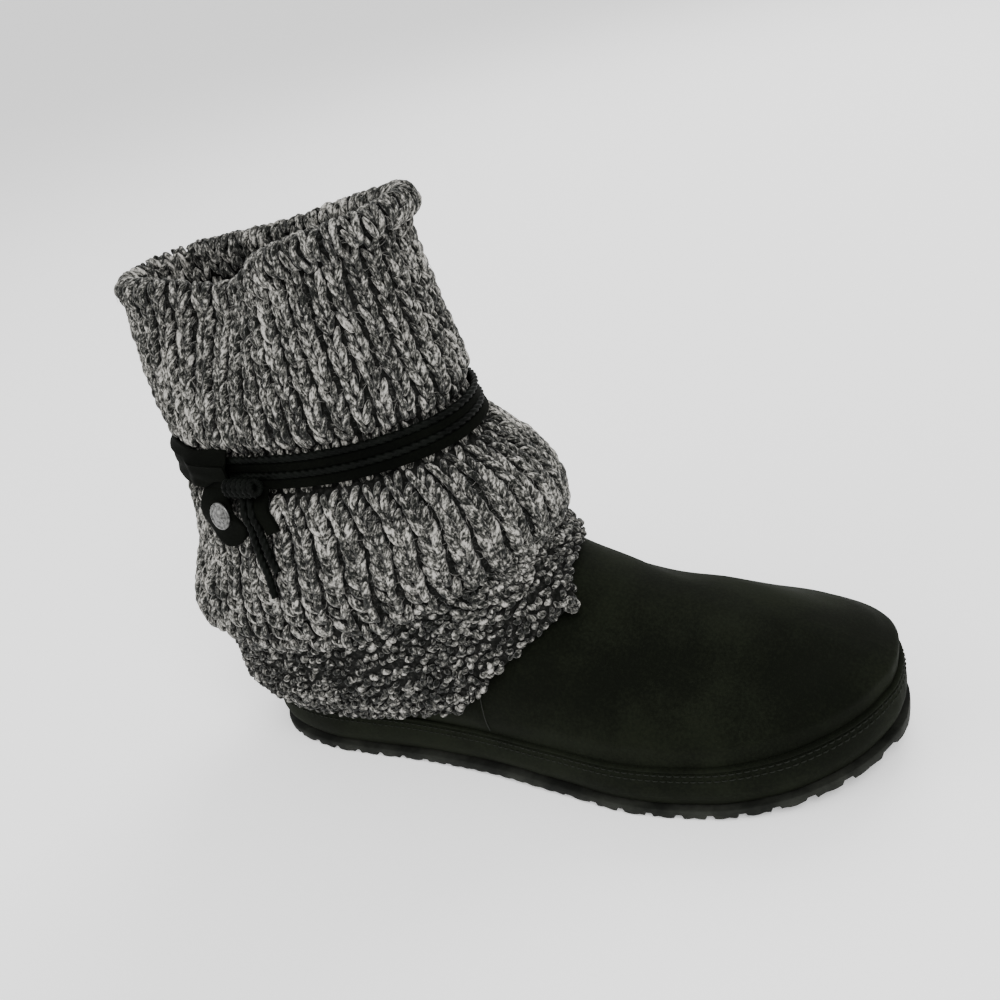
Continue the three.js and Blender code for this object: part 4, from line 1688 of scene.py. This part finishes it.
@dataclass
class KnitShaft:
    """The rib-knit shaft: a base painted near black as shade, with every stitch of yarn laid on it.

    Attributes:
        first: the level of the first row.
        inside: how far the stitches go on down the inside.
        band: the level where the hem band ends and the ribs start.
        pinch: the levels between which the tie presses the knit.
        loose: how far a rib's rows may be shifted.
        fibres: the number of loose fibres before those near the tie are left out.
        bobble: where the bobble hangs (share of the way round, level) and its radius.
    """

    form: KnitForm
    finishes: Finishes
    ribs: int = 42
    row: float = 5.5
    first: float = 39.0
    inside: float = 44.0
    band: float = 36.0
    pinch: tuple[float, float] = (108.0, 126.0)
    loose: float = 1.2
    hem_row: float = 2.75
    hem_count: int = 124
    fibres: int = 2800
    bobble: Triple = (0.453, 0.3, 2.6)
    fuzz_colour: Colour = (0.11, 0.107, 0.1)

    def top(self) -> float:
        """The level where the stitches end, down the inside."""
        return self.form.rim - self.form.roll + math.pi * self.form.roll + self.inside

    def press(self, level: Array) -> Array:
        """1 where the tie presses the knit flat, and 0 away from it."""
        low, high = self.pinch
        return smooth(low - 4, low + 1, level) * (1 - smooth(high - 1, high + 4, level))

    def base(self) -> None:
        """Makes the closed wall under the stitches, painted near black as the shade between and behind them.
        """
        f = self.form
        columns = self.ribs * 6
        around = np.arange(columns) / columns
        ridge = np.cos(2 * np.pi * around * self.ribs)
        top = f.rim - f.roll
        band_step, rib_step, inner_step, back_step = 2.2, 2.8, 3.0, 4.0
        rib_high, sunk, pressed, back_wall, hem_wall = 0.5, 0.85, 0.35, 0.2, 3.0
        outer = np.concatenate([np.arange(0, self.band, band_step), np.arange(self.band, top, rib_step)])
        roll = top + np.linspace(0, math.pi, 9) * f.roll
        inner = np.arange(roll[-1] + 2, self.top() + back_step, inner_step)
        rings = []
        for level in np.concatenate([outer, roll, inner]):
            press = self.press(level)
            ribbed = smooth(self.band, self.band + 8, level) * (1 - 0.6 * press)
            out = ridge * rib_high * ribbed - sunk - pressed * press
            rings.append(f.cloth(around, np.full(columns, level), out))
        last = top - (inner[-1] - roll[-1])
        for level in np.arange(last - back_step, 0, -back_step):
            depth = float(f.wall(level)) + back_wall
            rings.append(f.over(around, np.full(columns, level), np.full(columns, -depth)))
        rings.append(f.over(around, np.zeros(columns), np.full(columns, -hem_wall)))
        shell = new_object("knit_base", np.concatenate(rings), ring_faces(len(rings), columns, True))
        # Painted shade: the wall's near-black finish stands in for the shade seen between and behind the
        # stitches.
        settle(shell, Slot.KNIT, self.finishes(GrooveShadeFinish()), "knit_shaft")

    def lay(self, name: str, rows: Scatter, laid: Laid, shape: Thing, finish: object) -> None:
        """Lays copies of one shape as a piece of the knit."""
        wool = self.finishes(finish)
        settle(rows.grow(name, laid, shape, wool), Slot.KNIT, wool)

    def leg_shape(self, mirror: float, side: str) -> Thing:
        """Makes one leg of a knitted V.

        Args:
            mirror: -1 for a leg that leans left and 1 for one that leans right.
            side: the same as a word, for its name.

        Returns:
            The leg.
        """
        long, foot_apart, spread, sunk, arched, thick, tip = 7.8, 0.3, 2.3, 1.15, 1.75, 1.36, 0.55
        t = np.linspace(0, 1, 7)
        aside = mirror * (foot_apart + spread * t ** 0.85)
        up = -long / 2 + long * t
        out = -sunk + arched * np.sin(np.pi * t) ** 0.8
        radius = thick * (0.5 + 0.5 * np.sin(np.pi * np.clip(t, 0.02, 0.98)) ** 0.6)
        radius[[0, -1]] *= tip
        return pill(f"yarn_leg_{side}", np.stack([aside, up, out], -1), radius, 8)

    def stitches(self) -> None:
        """Lays both legs of every V stitch on the ribs."""
        f = self.form
        levels = np.arange(self.first, self.top(), self.row)
        column, level = (grid.ravel() for grid in np.meshgrid(np.arange(self.ribs), levels))
        rng = np.random.default_rng(7)
        slack = rng.uniform(-self.loose, self.loose, self.ribs)[column]
        level = level + rng.uniform(-0.45, 0.45, len(level)) + slack
        around = column / self.ribs + rng.uniform(-0.0004, 0.0004, len(level))
        shape_wide, sunk, pressed, flatter = 7.9, 0.35, 0.75, 0.25
        wide = f.girth(np.minimum(level, f.rim - f.roll)) / self.ribs / shape_wide
        press = self.press(level)
        laid = Laid(
            f.cloth(around, level, -sunk - pressed * press),
            euler_of(f.basis(around, level)),
            np.stack([wide, np.ones_like(wide), 1 - flatter * press], -1),
        )
        half = levels[len(levels) // 2]
        for mirror, side in ((-1.0, "left"), (1.0, "right")):
            shape = self.leg_shape(mirror, side)
            for part, chosen in (("lower", level < half), ("upper", level >= half)):
                seed = 11 + (mirror > 0) + 2 * (part == "upper")
                rows = Scatter(f"knit_{side}_{part}", seed=seed, tilt=0.16, vary=0.12)
                self.lay(f"knit_stitches_{side}_{part}", rows, laid.part(chosen), shape, WoolFinish())
            bpy.data.objects.remove(shape)

    def grooves(self) -> None:
        """Lays the purl bumps deep between the ribs."""
        f = self.form
        t = np.linspace(-1, 1, 4)
        path = np.stack([t * 1.5, 0.5 * t ** 2 - 0.25, -0.5 * t ** 2], -1)
        shape = pill("groove_bump", path, 0.85 * np.sqrt(np.clip(1 - (0.9 * t) ** 2, 0.12, 1)), 5)
        sunk, closer = 1.75, 0.62
        levels = np.arange(self.first + 1, self.top(), self.row * closer)
        column, level = (grid.ravel() for grid in np.meshgrid(np.arange(self.ribs) + 0.5, levels))
        level = level + np.random.default_rng(17).uniform(-0.5, 0.5, len(level))
        free = self.press(level) < 0.5
        around, level = column[free] / self.ribs, level[free]
        places = f.cloth(around, level, np.full(len(level), -sunk))
        laid = Laid(places, euler_of(f.basis(around, level)), np.ones_like(places))
        # Painted shade: the groove bumps lean far to the dark fibre, for the shade deep between the ribs.
        wool = WoolFinish("marled_groove_wool", bias=0.34, lengthwise=2.2, across=3.5)
        rows = Scatter("knit_grooves", seed=31, tilt=0.35, vary=0.2)
        self.lay("knit_groove_bumps", rows, laid, shape, wool)
        bpy.data.objects.remove(shape)

    def fuzz(self) -> None:
        """Scatters fine loose fibres over the outside of the knit, clear of the tie."""
        f = self.form
        rng = np.random.default_rng(41)
        around = rng.uniform(0, 1, self.fibres)
        level = rng.uniform(self.band, f.rim - 2, self.fibres)
        low, high = self.pinch
        ends_from, ends_to, ends_foot = 0.1, 0.3, 60
        tied = (level > low - 8) & (level < high + 5)
        under_ends = (around > ends_from) & (around < ends_to) & (level > ends_foot) & (level < high)
        around, level = around[~(tied | under_ends)], level[~(tied | under_ends)]
        t = np.linspace(-1, 1, 4)
        path = np.stack([t * 2.0, 0.5 * t ** 2, 0.35 - 0.7 * t ** 2], -1)
        shape = pill("loose_fibre", path, 0.075 - 0.05 * t ** 4, 3)
        spin = rng.uniform(0, 2 * np.pi, len(level))
        wheel = np.zeros((len(level), 3, 3))
        wheel[:, 0, 0] = wheel[:, 1, 1] = np.cos(spin)
        wheel[:, 1, 0], wheel[:, 0, 1] = np.sin(spin), -np.sin(spin)
        wheel[:, 2, 2] = 1
        places = f.cloth(around, level, rng.uniform(0.3, 1.0, len(level)))
        laid = Laid(places, euler_of(f.basis(around, level) @ wheel), np.ones_like(places))
        wool = ThreadFinish("loose_wool", self.fuzz_colour)
        self.lay("knit_loose_fibres", Scatter("knit_fuzz", seed=43, tilt=0.5, vary=0.4), laid, shape, wool)
        bpy.data.objects.remove(shape)

    def hang_bobble(self, count: int) -> Laid:
        """Places the bumps of the small bobble that hangs from the hem's front edge.

        Args:
            count: the number of bumps.

        Returns:
            The bumps, spread evenly over a ball.
        """
        around, level, radius = self.bobble
        middle = self.form.over(np.array([around]), np.array([level]), np.array([radius - 0.6]))
        golden_turn = 2.39996
        k = np.arange(count)
        high, turn = 1 - 2 * (k + 0.5) / count, k * golden_turn
        flat = np.sqrt(1 - high ** 2)
        out = np.stack([flat * np.cos(turn), flat * np.sin(turn), high], -1)
        side = unit(np.cross(out, [0.3, 0.2, 0.9]))
        turns = euler_of(np.stack([side, np.cross(out, side), out], -1))
        return Laid(middle + out * (radius - 0.5), turns, np.full((count, 3), 0.75))

    def hem(self) -> None:
        """Lays the hem band in reverse stocking stitch: rows of small purl bumps."""
        f = self.form
        wool = WoolFinish("marled_hem_wool", bias=0.045, lengthwise=2.3, across=3.6, shadow=0.3)
        t = np.linspace(-1, 1, 6)
        path = np.stack([t * 1.6, -0.7 * (1 - t ** 2) + 0.25, 0.8 * (1 - t ** 2) - 0.4], -1)
        shape = pill("purl_bump", path, 0.98 * np.sqrt(np.clip(1 - (0.93 * t) ** 2, 0.1, 1)) + 0.12, 6)
        shape_wide, sunk, stray, high = 4.0, 0.55, 1.1, 1.1
        rng = np.random.default_rng(3)
        count = self.hem_count
        laid = []
        for k, level in enumerate(np.arange(1.0, self.band + 4, self.hem_row)):
            around = (np.arange(count) + 0.5 * (k % 2)) / count + rng.uniform(-0.0016, 0.0016, count)
            levels = np.clip(level + rng.uniform(-stray, stray, count), 0.3, self.band + 5)
            long = float(f.girth(level)) / count / shape_wide * rng.uniform(0.9, 1.4, count)
            laid.append(Laid(
                f.over(around, levels, np.full(count, -sunk)),
                euler_of(f.basis(around, levels)),
                np.stack([long, rng.uniform(0.85, 1.25, count), np.full(count, high)], -1),
            ))
        laid.append(self.hang_bobble(30))
        rows = Scatter("knit_hem", seed=21, tilt=0.85, vary=0.2)
        self.lay("knit_hem_band", rows, Laid.joined(laid), shape, wool)
        bpy.data.objects.remove(shape)

    def build(self) -> None:
        """Makes and dresses the knit."""
        self.base()
        self.grooves()
        self.stitches()
        self.hem()
        self.fuzz()


# Ankle tie


@dataclass
class AnkleTie:
    """Two turns of twisted cord and flat lace, with the tab, its stud, the knot and the free ends.

    Each place called around is a share of the way round the knit.

    Attributes:
        seat: how far the strands' inner side is off the knit.
        level: the level of the strands' middle.
        tall: from the top of the strands to their foot.
        tab_rest: how far the round end's back is off the knit.
        tab_over: the gap between the strands and the tab.
        sleeve_span: where the folded suede starts and ends, as shares of the way round.
        twist_pitch: the length of cord in which three plies pass one side of it.
        tails: rows for each free end: down from the knot, aside, and off the knit.
    """

    form: KnitForm
    finishes: Finishes
    cord: float = 3.0
    lace_wide: float = 4.0
    lace_thick: float = 2.0
    gap: float = 0.3
    seat: float = 1.35
    level: float = 117.0
    tall: float = 14.9
    tab_wide: float = 22.0
    tab_neck: float = 15.0
    tab_thick: float = 1.8
    tab_around: float = 0.174
    tab_centre: float = 97.0
    tab_rest: float = 1.05
    tab_over: float = 0.9
    stud_wide: float = 10.4
    stud_tall: float = 2.4
    stud_around: float = 0.188
    stud_level: float = 102.5
    sleeve_span: tuple[float, float] = (-0.06, 0.204)
    knot_long: float = 16.0
    knot_thick: float = 7.5
    knot_around: float = 0.222
    twist_pitch: float = 9.0
    suede: SuedeFinish = SuedeFinish(
        "tie_suede", dark=(0.0008, 0.001, 0.0007), light=(0.0022, 0.0027, 0.0018), sheen=0.003, gloss=0.03)
    tails: dict[str, list[tuple[float, float, float]]] = field(default_factory=lambda: {
        "tail_cord_long": [
            (0, -4, 3.7), (6, -4, 3.7), (14, -3.6, 3.2), (24, -2.2, 3), (34, 0, 2.9), (44, 2, 2.9)],
        "tail_cord_short": [(0, -0.2, 3.7), (6, -0.2, 3.7), (14, 0.3, 3.2), (21, 1.6, 3), (32, 4.4, 2.9)],
        "tail_lace": [(0, 4, 3), (4, 4.1, 2.8), (8, 4.6, 2.5), (14, 5.4, 2.4)],
    })

    @property
    def reach(self) -> float:
        """How far the strands' outer side is off the knit."""
        return self.seat + self.cord

    @property
    def knot_level(self) -> float:
        """The knot's level."""
        return self.level - self.tall / 2 + 1.5

    def rope(self, path: Array, normal: Array, closed: bool, thick: float, turns: float) -> tuple:
        """Draws a twisted cord of three plies.

        Args:
            path: its middle line.
            normal: a direction across it at each point.
            closed: whether it is a loop.
            thick: its thickness.
            turns: how many plies pass one side of it from end to end.

        Returns:
            Points and faces.
        """
        plies, core = 3, 0.22
        angles = 2 * np.pi * np.arange(plies * 8) / (plies * 8)
        count = len(path) if closed else len(path) - 1

        def corners(i: int) -> Array:
            """Draws the lobed section, turned by the twist.

            Args:
                i: the step of the path.

            Returns:
                Its corners.
            """
            spin = 2 * np.pi * turns / plies * i / count
            lobe = (angles - spin + np.pi / plies) % (2 * np.pi / plies) - np.pi / plies
            r = thick / 2 * (core + (1 - core) * np.cos(lobe))
            return np.stack([np.cos(angles) * r, np.sin(angles) * r], -1)

        return sweep(path, normal, corners, closed)

    def strands(self) -> None:
        """Makes the four strands round the ankle."""
        f = self.form
        pitch = self.cord / 2 + self.gap + self.lace_wide / 2
        first = self.tall / 2 - self.cord / 2
        count = 504
        around = np.arange(count) / count
        sag = 0.15 * np.sin(2 * np.pi * around * 5 + 1)
        passes = round(float(f.girth(self.level)) / self.twist_pitch) * 3
        section = rounded_box(self.lace_wide, self.lace_thick, 0.95)
        for k, name in enumerate(("tie_cord_upper", "tie_lace_upper", "tie_cord_lower", "tie_lace_lower")):
            is_cord = k % 2 == 0
            level = self.level + first - k * pitch + sag
            out = self.seat + (self.cord if is_cord else self.lace_thick) / 2
            path, normal = f.over(around, level, np.full(count, out)), f.normal(around, level)
            if is_cord:
                made = new_object(name + "_twist", *self.rope(path, normal, True, self.cord, passes))
                settle(made, Slot.CORD, self.finishes(CordFinish()), name)
            else:
                made = new_object(name + "_suede", *sweep(path, normal, lambda i: section, True))
                settle(made, Slot.SUEDE, self.finishes(self.suede), name)

    def sleeve(self) -> None:
        """Makes the folded suede that hides the strands round the back, up to the tab."""
        start, end = self.sleeve_span
        section = rounded_strip(2.0, 0.35, across=25)
        neck = self.tab_around - self.tab_neck / 2 / float(self.form.girth(self.level))
        top, foot = self.level + self.tall / 2 + 1.0, self.level - self.tall / 2
        knit_gap, half_thick = 1.9, 0.55
        rings = []
        for turn in np.linspace(start, end, 120):
            full = smooth(start, start + 0.04, turn)
            over_tab = smooth(neck - 0.034, neck - 0.002, turn)
            upper = top + 3.0 * full + 0.35 * math.sin(75 * turn)
            lower = foot - 1.9 + 0.8 * full + 0.3 * math.sin(90 * turn + 1)
            lower += (self.level - 1.3 - lower) * smooth(neck - 0.004, neck + 0.04, turn)
            level = (upper + lower) / 2 + section[:, 0] * (upper - lower) / 2
            fold = 0.14 * np.sin((level - self.level) * 0.9 + 1.5 * math.sin(40 * turn)) * full
            laid = self.reach + self.tab_over + fold + (self.tab_thick + 0.95) * over_tab
            rise = smooth(top, top + 3.4, level)
            out = laid + (knit_gap - laid) * rise + section[:, 1] * half_thick
            rings.append(self.form.over(np.full(len(level), turn), level, out))
        made = new_object("sleeve_suede", *loft(rings))
        outward_faces(made)
        settle(made, Slot.SUEDE, self.finishes(self.suede))

    def tab_seat(self, level: Array) -> Array:
        """How far the tab's back lies off the knit."""
        low, over = self.level - self.tall / 2, self.reach + self.tab_over
        return self.tab_rest + (over - self.tab_rest) * smooth(low - 20, low - 1, level)

    def seated(self, around: float, level: float, reach: Callable[[float], float], lift: float) -> Callable:
        """Stands a frame of its own on what lies over the knit: X round the leg, Y up it and Z outwards.

        Args:
            around: its place, as a share of the way round.
            level: its level.
            reach: how far that which it stands on is off the knit, at a level.
            lift: how far the frame is off that.

        Returns:
            A function that moves points, or turns directions where its second value is false, out of the
            frame into the boot's.
        """
        def seat(turn: float, high: float) -> Array:
            """A point of the seat."""
            at = level + high
            return self.form.over(np.array(around + turn), np.array(at), np.array(float(reach(at))))

        across = unit(seat(0.008, 0) - seat(-0.008, 0))
        outwards = unit(np.cross(across, seat(0, 4) - seat(0, -4)))
        axes = np.array([across, np.cross(outwards, across), outwards])
        place = seat(0, 0) + outwards * lift
        return lambda points, moved=True: points @ axes + (place if moved else 0)

    def tab(self) -> None:
        """Makes the keeper tab over the strands."""
        half = self.tab_wide / 2
        centre = self.tab_centre
        top = self.level + self.tall / 2 + 1
        low = centre - 0.985 * half
        girth = float(self.form.girth(centre))
        level = low + (top - low) * (1 - np.cos(np.linspace(0, np.pi, 44))) / 2
        below = np.sqrt(np.maximum(0, half ** 2 - (centre - level) ** 2))
        above = half + (self.tab_neck / 2 - half) * smooth(centre, centre + half, level)
        width = np.where(level < centre, below, above)
        section = rounded_strip(self.tab_thick, 0.7, across=15)
        depth = section[:, 1] + self.tab_thick / 2 - 0.25 * section[:, 0] ** 2
        rings = []
        for at, w in zip(level[::-1], width[::-1]):
            around = self.tab_around + section[:, 0] * w / girth
            rings.append(self.form.over(around, np.full(len(section), at), float(self.tab_seat(at)) + depth))
        points, faces = loft(rings)
        made = new_object("tab_suede", points, flip(faces))
        outward_faces(made)
        settle(made, Slot.SUEDE, self.finishes(self.suede), "keeper_tab")

    def stud(self) -> None:
        """Makes the hammered stud with its rolled rim."""
        radius, tall = self.stud_wide / 2, self.stud_tall
        face, foot, dent_deep, dent_wide, on_rim = radius - 1.3, 1.42, 0.16, 0.75, 0.12
        profile = [
            (radius - 0.9, 0.0), (radius - 0.3, 0.1), (radius, 0.55), (radius, 0.95), (radius - 0.2, 1.35),
            (radius - 0.65, 1.55), (radius - 1.05, 1.42), (radius - 1.35, 1.38)]
        for r in np.linspace(radius - 1.6, 0.25, 9):
            profile.append((float(r), foot + (tall - foot) * (1 - (r / face) ** 2)))
        circle = disc(1, 1, 64)
        spots = np.random.default_rng(5).uniform(-1, 1, (26, 2)) * (radius - 1.2)
        rings = []
        for r, z in profile:
            x, y = (circle * r).T
            dent = sum(dent_deep * bell(np.hypot(x - sx, y - sy), dent_wide) for sx, sy in spots)
            rings.append(np.stack([x, y, z - dent * (1.0 if r < radius - 1.2 else on_rim)], -1))
        points, faces = loft(rings, (np.zeros(3), np.array([0, 0, tall])))
        place = self.seated(self.stud_around, self.stud_level, self.tab_seat, self.tab_thick + 0.6)
        made = new_object("stud_hammered", place(points), faces, crease=1.2)
        settle(made, Slot.METAL, self.finishes(StudFinish()), "stud")

    def knot(self) -> None:
        """Makes the knot: cord wrapped round a core, with a loop at its end."""
        lift = self.knot_thick / 2 + 0.3
        place = self.seated(self.knot_around, self.knot_level, lambda at: self.reach, lift)
        half = self.knot_long / 2 - 1.4
        wraps, passes, loop_passes = 5.5, 60, 18
        t = np.linspace(0, 1, 200)
        angle = 2 * np.pi * wraps * t
        radius = (self.knot_thick - self.cord) / 2 + 0.25 * np.sin(np.pi * t)
        out = np.stack([0 * t, np.cos(angle), np.sin(angle)], -1)
        middle = np.stack([-half + 2 * half * t, radius * np.cos(angle), radius * np.sin(angle)], -1)
        coil = self.rope(place(middle), place(out, False), False, self.cord, passes)
        outwards = place(np.array([0, 0, 1.0]), False)
        core = place(np.linspace((-half, 0, 0), (half, 0, 0), 8))
        section = disc(1.4, 1.4, 10)
        filler = sweep(core, np.tile(outwards, (8, 1)), lambda i: section, False)
        swing = np.pi * (-0.25 + 1.5 * np.linspace(0, 1, 60))
        loop = np.stack([half - 0.2 + 2.6 * np.sin(swing), 0.4 + 2.3 * np.cos(swing), 0.4 + 0 * swing], -1)
        eye = self.rope(place(loop), np.tile(outwards, (60, 1)), False, self.cord * 0.85, loop_passes)
        made = new_object("knot_wrapped", *join_parts([coil, filler, eye]))
        settle(made, Slot.CORD, self.finishes(CordFinish()), "tie_knot")

    def route(self, name: str, count: int) -> tuple[Array, Array]:
        """Finds the middle line of a free end.

        Args:
            name: its CAD node.
            count: the number of points.

        Returns:
            The points, and the knit's normals there.
        """
        rows = np.array(self.tails[name], float)
        into_knot = 2.4
        start = self.knot_level - self.knot_thick / 2 - 2 * self.gap
        length = rows[-1, 0]
        down = np.linspace(-into_knot, length, count)
        aside, off = Curve(rows[:, 0], rows[:, 1:])(down).T
        around = self.knot_around + aside / float(self.form.girth(start - length / 2))
        return self.form.over(around, start - down, off), self.form.normal(around, start - down)

    def free_ends(self) -> None:
        """Makes the cut end of the lace and the two ends of the cord."""
        section = rounded_box(6.0, self.lace_thick, 0.6)
        path, normal = self.route("tail_lace", 24)
        lace = new_object("lace_end", *sweep(path, normal, lambda i: section, False))
        settle(lace, Slot.SUEDE, self.finishes(self.suede), "tail_lace")
        for name in ("tail_cord_long", "tail_cord_short"):
            path, normal = self.route(name, 60)
            length = float(np.linalg.norm(np.diff(path, axis=0), axis=1).sum())
            rope = self.rope(path, normal, False, self.cord, length / self.twist_pitch * 3)
            made = new_object(name + "_twist", *rope)
            settle(made, Slot.CORD, self.finishes(CordFinish()), name)
            metres = (path - (HEEL_CENTRE, 0, 0)) * MM
            metres[::3].tolist() + [metres[-1].tolist()]

    def build(self) -> None:
        """Makes and dresses the tie."""
        self.knot()
        self.free_ends()
        self.strands()
        self.sleeve()
        self.tab()
        self.stud()


def rounded_box(wide: float, thick: float, radius: float) -> Array:
    """A box section with round corners, and four points on each long side."""
    return round_corners(wide, thick, min(radius, wide * 0.225), radius, 5)


def rounded_strip(thick: float, radius: float, across: int) -> Array:
    """The section of a flat strip, as wide as 2, whose width is scaled later."""
    return round_corners(2.0, thick, 0.09, radius, across)


def round_corners(wide: float, thick: float, aside: float, radius: float, across: int) -> Array:
    """Draws a section with round corners, counter-clockwise.

    Args:
        wide: its size on the first axis.
        thick: its size on the second axis.
        aside: the corners' radius on the first axis.
        radius: the corners' radius on the second axis.
        across: points on each long side, between the corners.

    Returns:
        The section's corners.
    """
    w, h = wide / 2 - aside, thick / 2
    points = []
    for sx, sy, start in ((1, -1, -90), (1, 1, 0), (-1, 1, 90), (-1, -1, 180)):
        for k in range(4):
            a = math.radians(start + 30 * k)
            points.append((sx * w + aside * math.cos(a), sy * (h - radius) + radius * math.sin(a)))
        if sx == sy:
            points += [(w * t * sx, sy * h) for t in np.linspace(1, -1, across + 2)[1:-1]]
    return np.array(points)


# Studio


@dataclass
class Studio:
    """Camera, floor and soft lights, in metres.

    Attributes:
        place: the camera's place.
        right: the direction to the right of the picture.
        up: the direction up the picture.
        back: the direction from the boot to the camera.
        lens: the focal length in millimetres.
        floor_glow: how far it lights itself.
        target: what the lights are aimed at.
        lights: name, place, size and power of each light.
    """

    place: Triple = (0.2952, -0.343, 0.3066)
    right: Triple = (0.9386, 0.2945, -0.1796)
    up: Triple = (0.0165, 0.4817, 0.8762)
    back: Triple = (0.3445, -0.8254, 0.4473)
    lens: float = 44.5
    sensor: float = 36.0
    floor_half: float = 60.0
    floor_pale: float = 0.93
    floor_glow: float = 0.35
    target: Triple = (0.06, 0, 0.09)
    lights: tuple = (
        ("key", (0.9, -0.9, 1.5), 1.1, 29),
        ("fill", (-1.2, -0.9, 0.9), 1.4, 11),
        ("rim", (0.1, 1.3, 1.2), 1.2, 17),
    )

    def camera(self) -> None:
        """Sets the camera at the photograph's viewing angle, turned to put the boot in the middle."""
        data = bpy.data.cameras.new("camera")
        cam = add_object("camera", data)
        data.sensor_width, data.lens = self.sensor, self.lens
        data.clip_start, data.clip_end = 0.01, 200
        rotation = Matrix((self.right, self.up, self.back)).transposed()
        corners = [v.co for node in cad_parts.values() for v in node.data.vertices]
        local = (np.array(corners) - self.place) @ np.array(rotation)
        u, w = local[:, 0] / -local[:, 2], local[:, 1] / -local[:, 2]
        aim = rotation @ Vector(((u.min() + u.max()) / 2, (w.min() + w.max()) / 2, -1))
        turn = (rotation @ Vector((0, 0, -1))).rotation_difference(aim.normalized())
        turned = turn.to_matrix() @ rotation
        cam.matrix_world = Matrix.Translation(Vector(self.place)) @ turned.to_4x4()
        bpy.context.scene.camera = cam

    def floor(self) -> None:
        """Lays a plain pale floor."""
        size = self.floor_half
        mesh = bpy.data.meshes.new("floor")
        corners = [(-size, -size, 0), (size, -size, 0), (size, size, 0), (-size, size, 0)]
        mesh.from_pydata(corners, [], [(0, 1, 2, 3)])
        floor = add_object("floor", mesh)
        pale = (self.floor_pale, self.floor_pale, self.floor_pale, 1)
        paint = Shader("pale_floor", Base_Color=pale, Emission_Color=(1, 1, 1, 1),
                       Emission_Strength=self.floor_glow, Roughness=0.9)
        mesh.materials.append(paint.material)

    def light(self, name: str, place: tuple, size: float, power: float) -> None:
        """Hangs a round area light aimed at the boot.

        Args:
            name: the light's name.
            place: its place.
            size: its width.
            power: its power in watts.
        """
        data = bpy.data.lights.new(name, "AREA")
        data.shape, data.size, data.energy = "DISK", size, power
        lamp = add_object(name, data)
        lamp.location = place
        aim = Vector(self.target) - Vector(place)
        lamp.rotation_euler = aim.to_track_quat("-Z", "Y").to_euler()

    def build(self) -> None:
        """Makes the camera, the floor and the lights."""
        self.camera()
        self.floor()
        for light in self.lights:
            self.light(*light)
        world = bpy.data.worlds.new("studio")
        bpy.context.scene.world = world
        world.use_nodes = True
        sky = world.node_tree.nodes["Background"].inputs
        sky["Color"].default_value = (1, 1, 1, 1)
        sky["Strength"].default_value = 1.0


def main() -> None:
    """Builds the boot, piece by piece."""
    logging.basicConfig(level=logging.INFO, format="%(name)s %(message)s")
    Studio().build()
    finishes = Finishes()
    sole = SoleForm()
    foot = FootForm(sole)
    knit = KnitForm(foot)
    for assembly in (
        AnkleTie(knit, finishes),
        Sole(sole, finishes),
        SuedeFoot(foot, finishes),
        KnitShaft(knit, finishes),
    ):
        assembly.build()


if __name__ == "__main__":
    main()
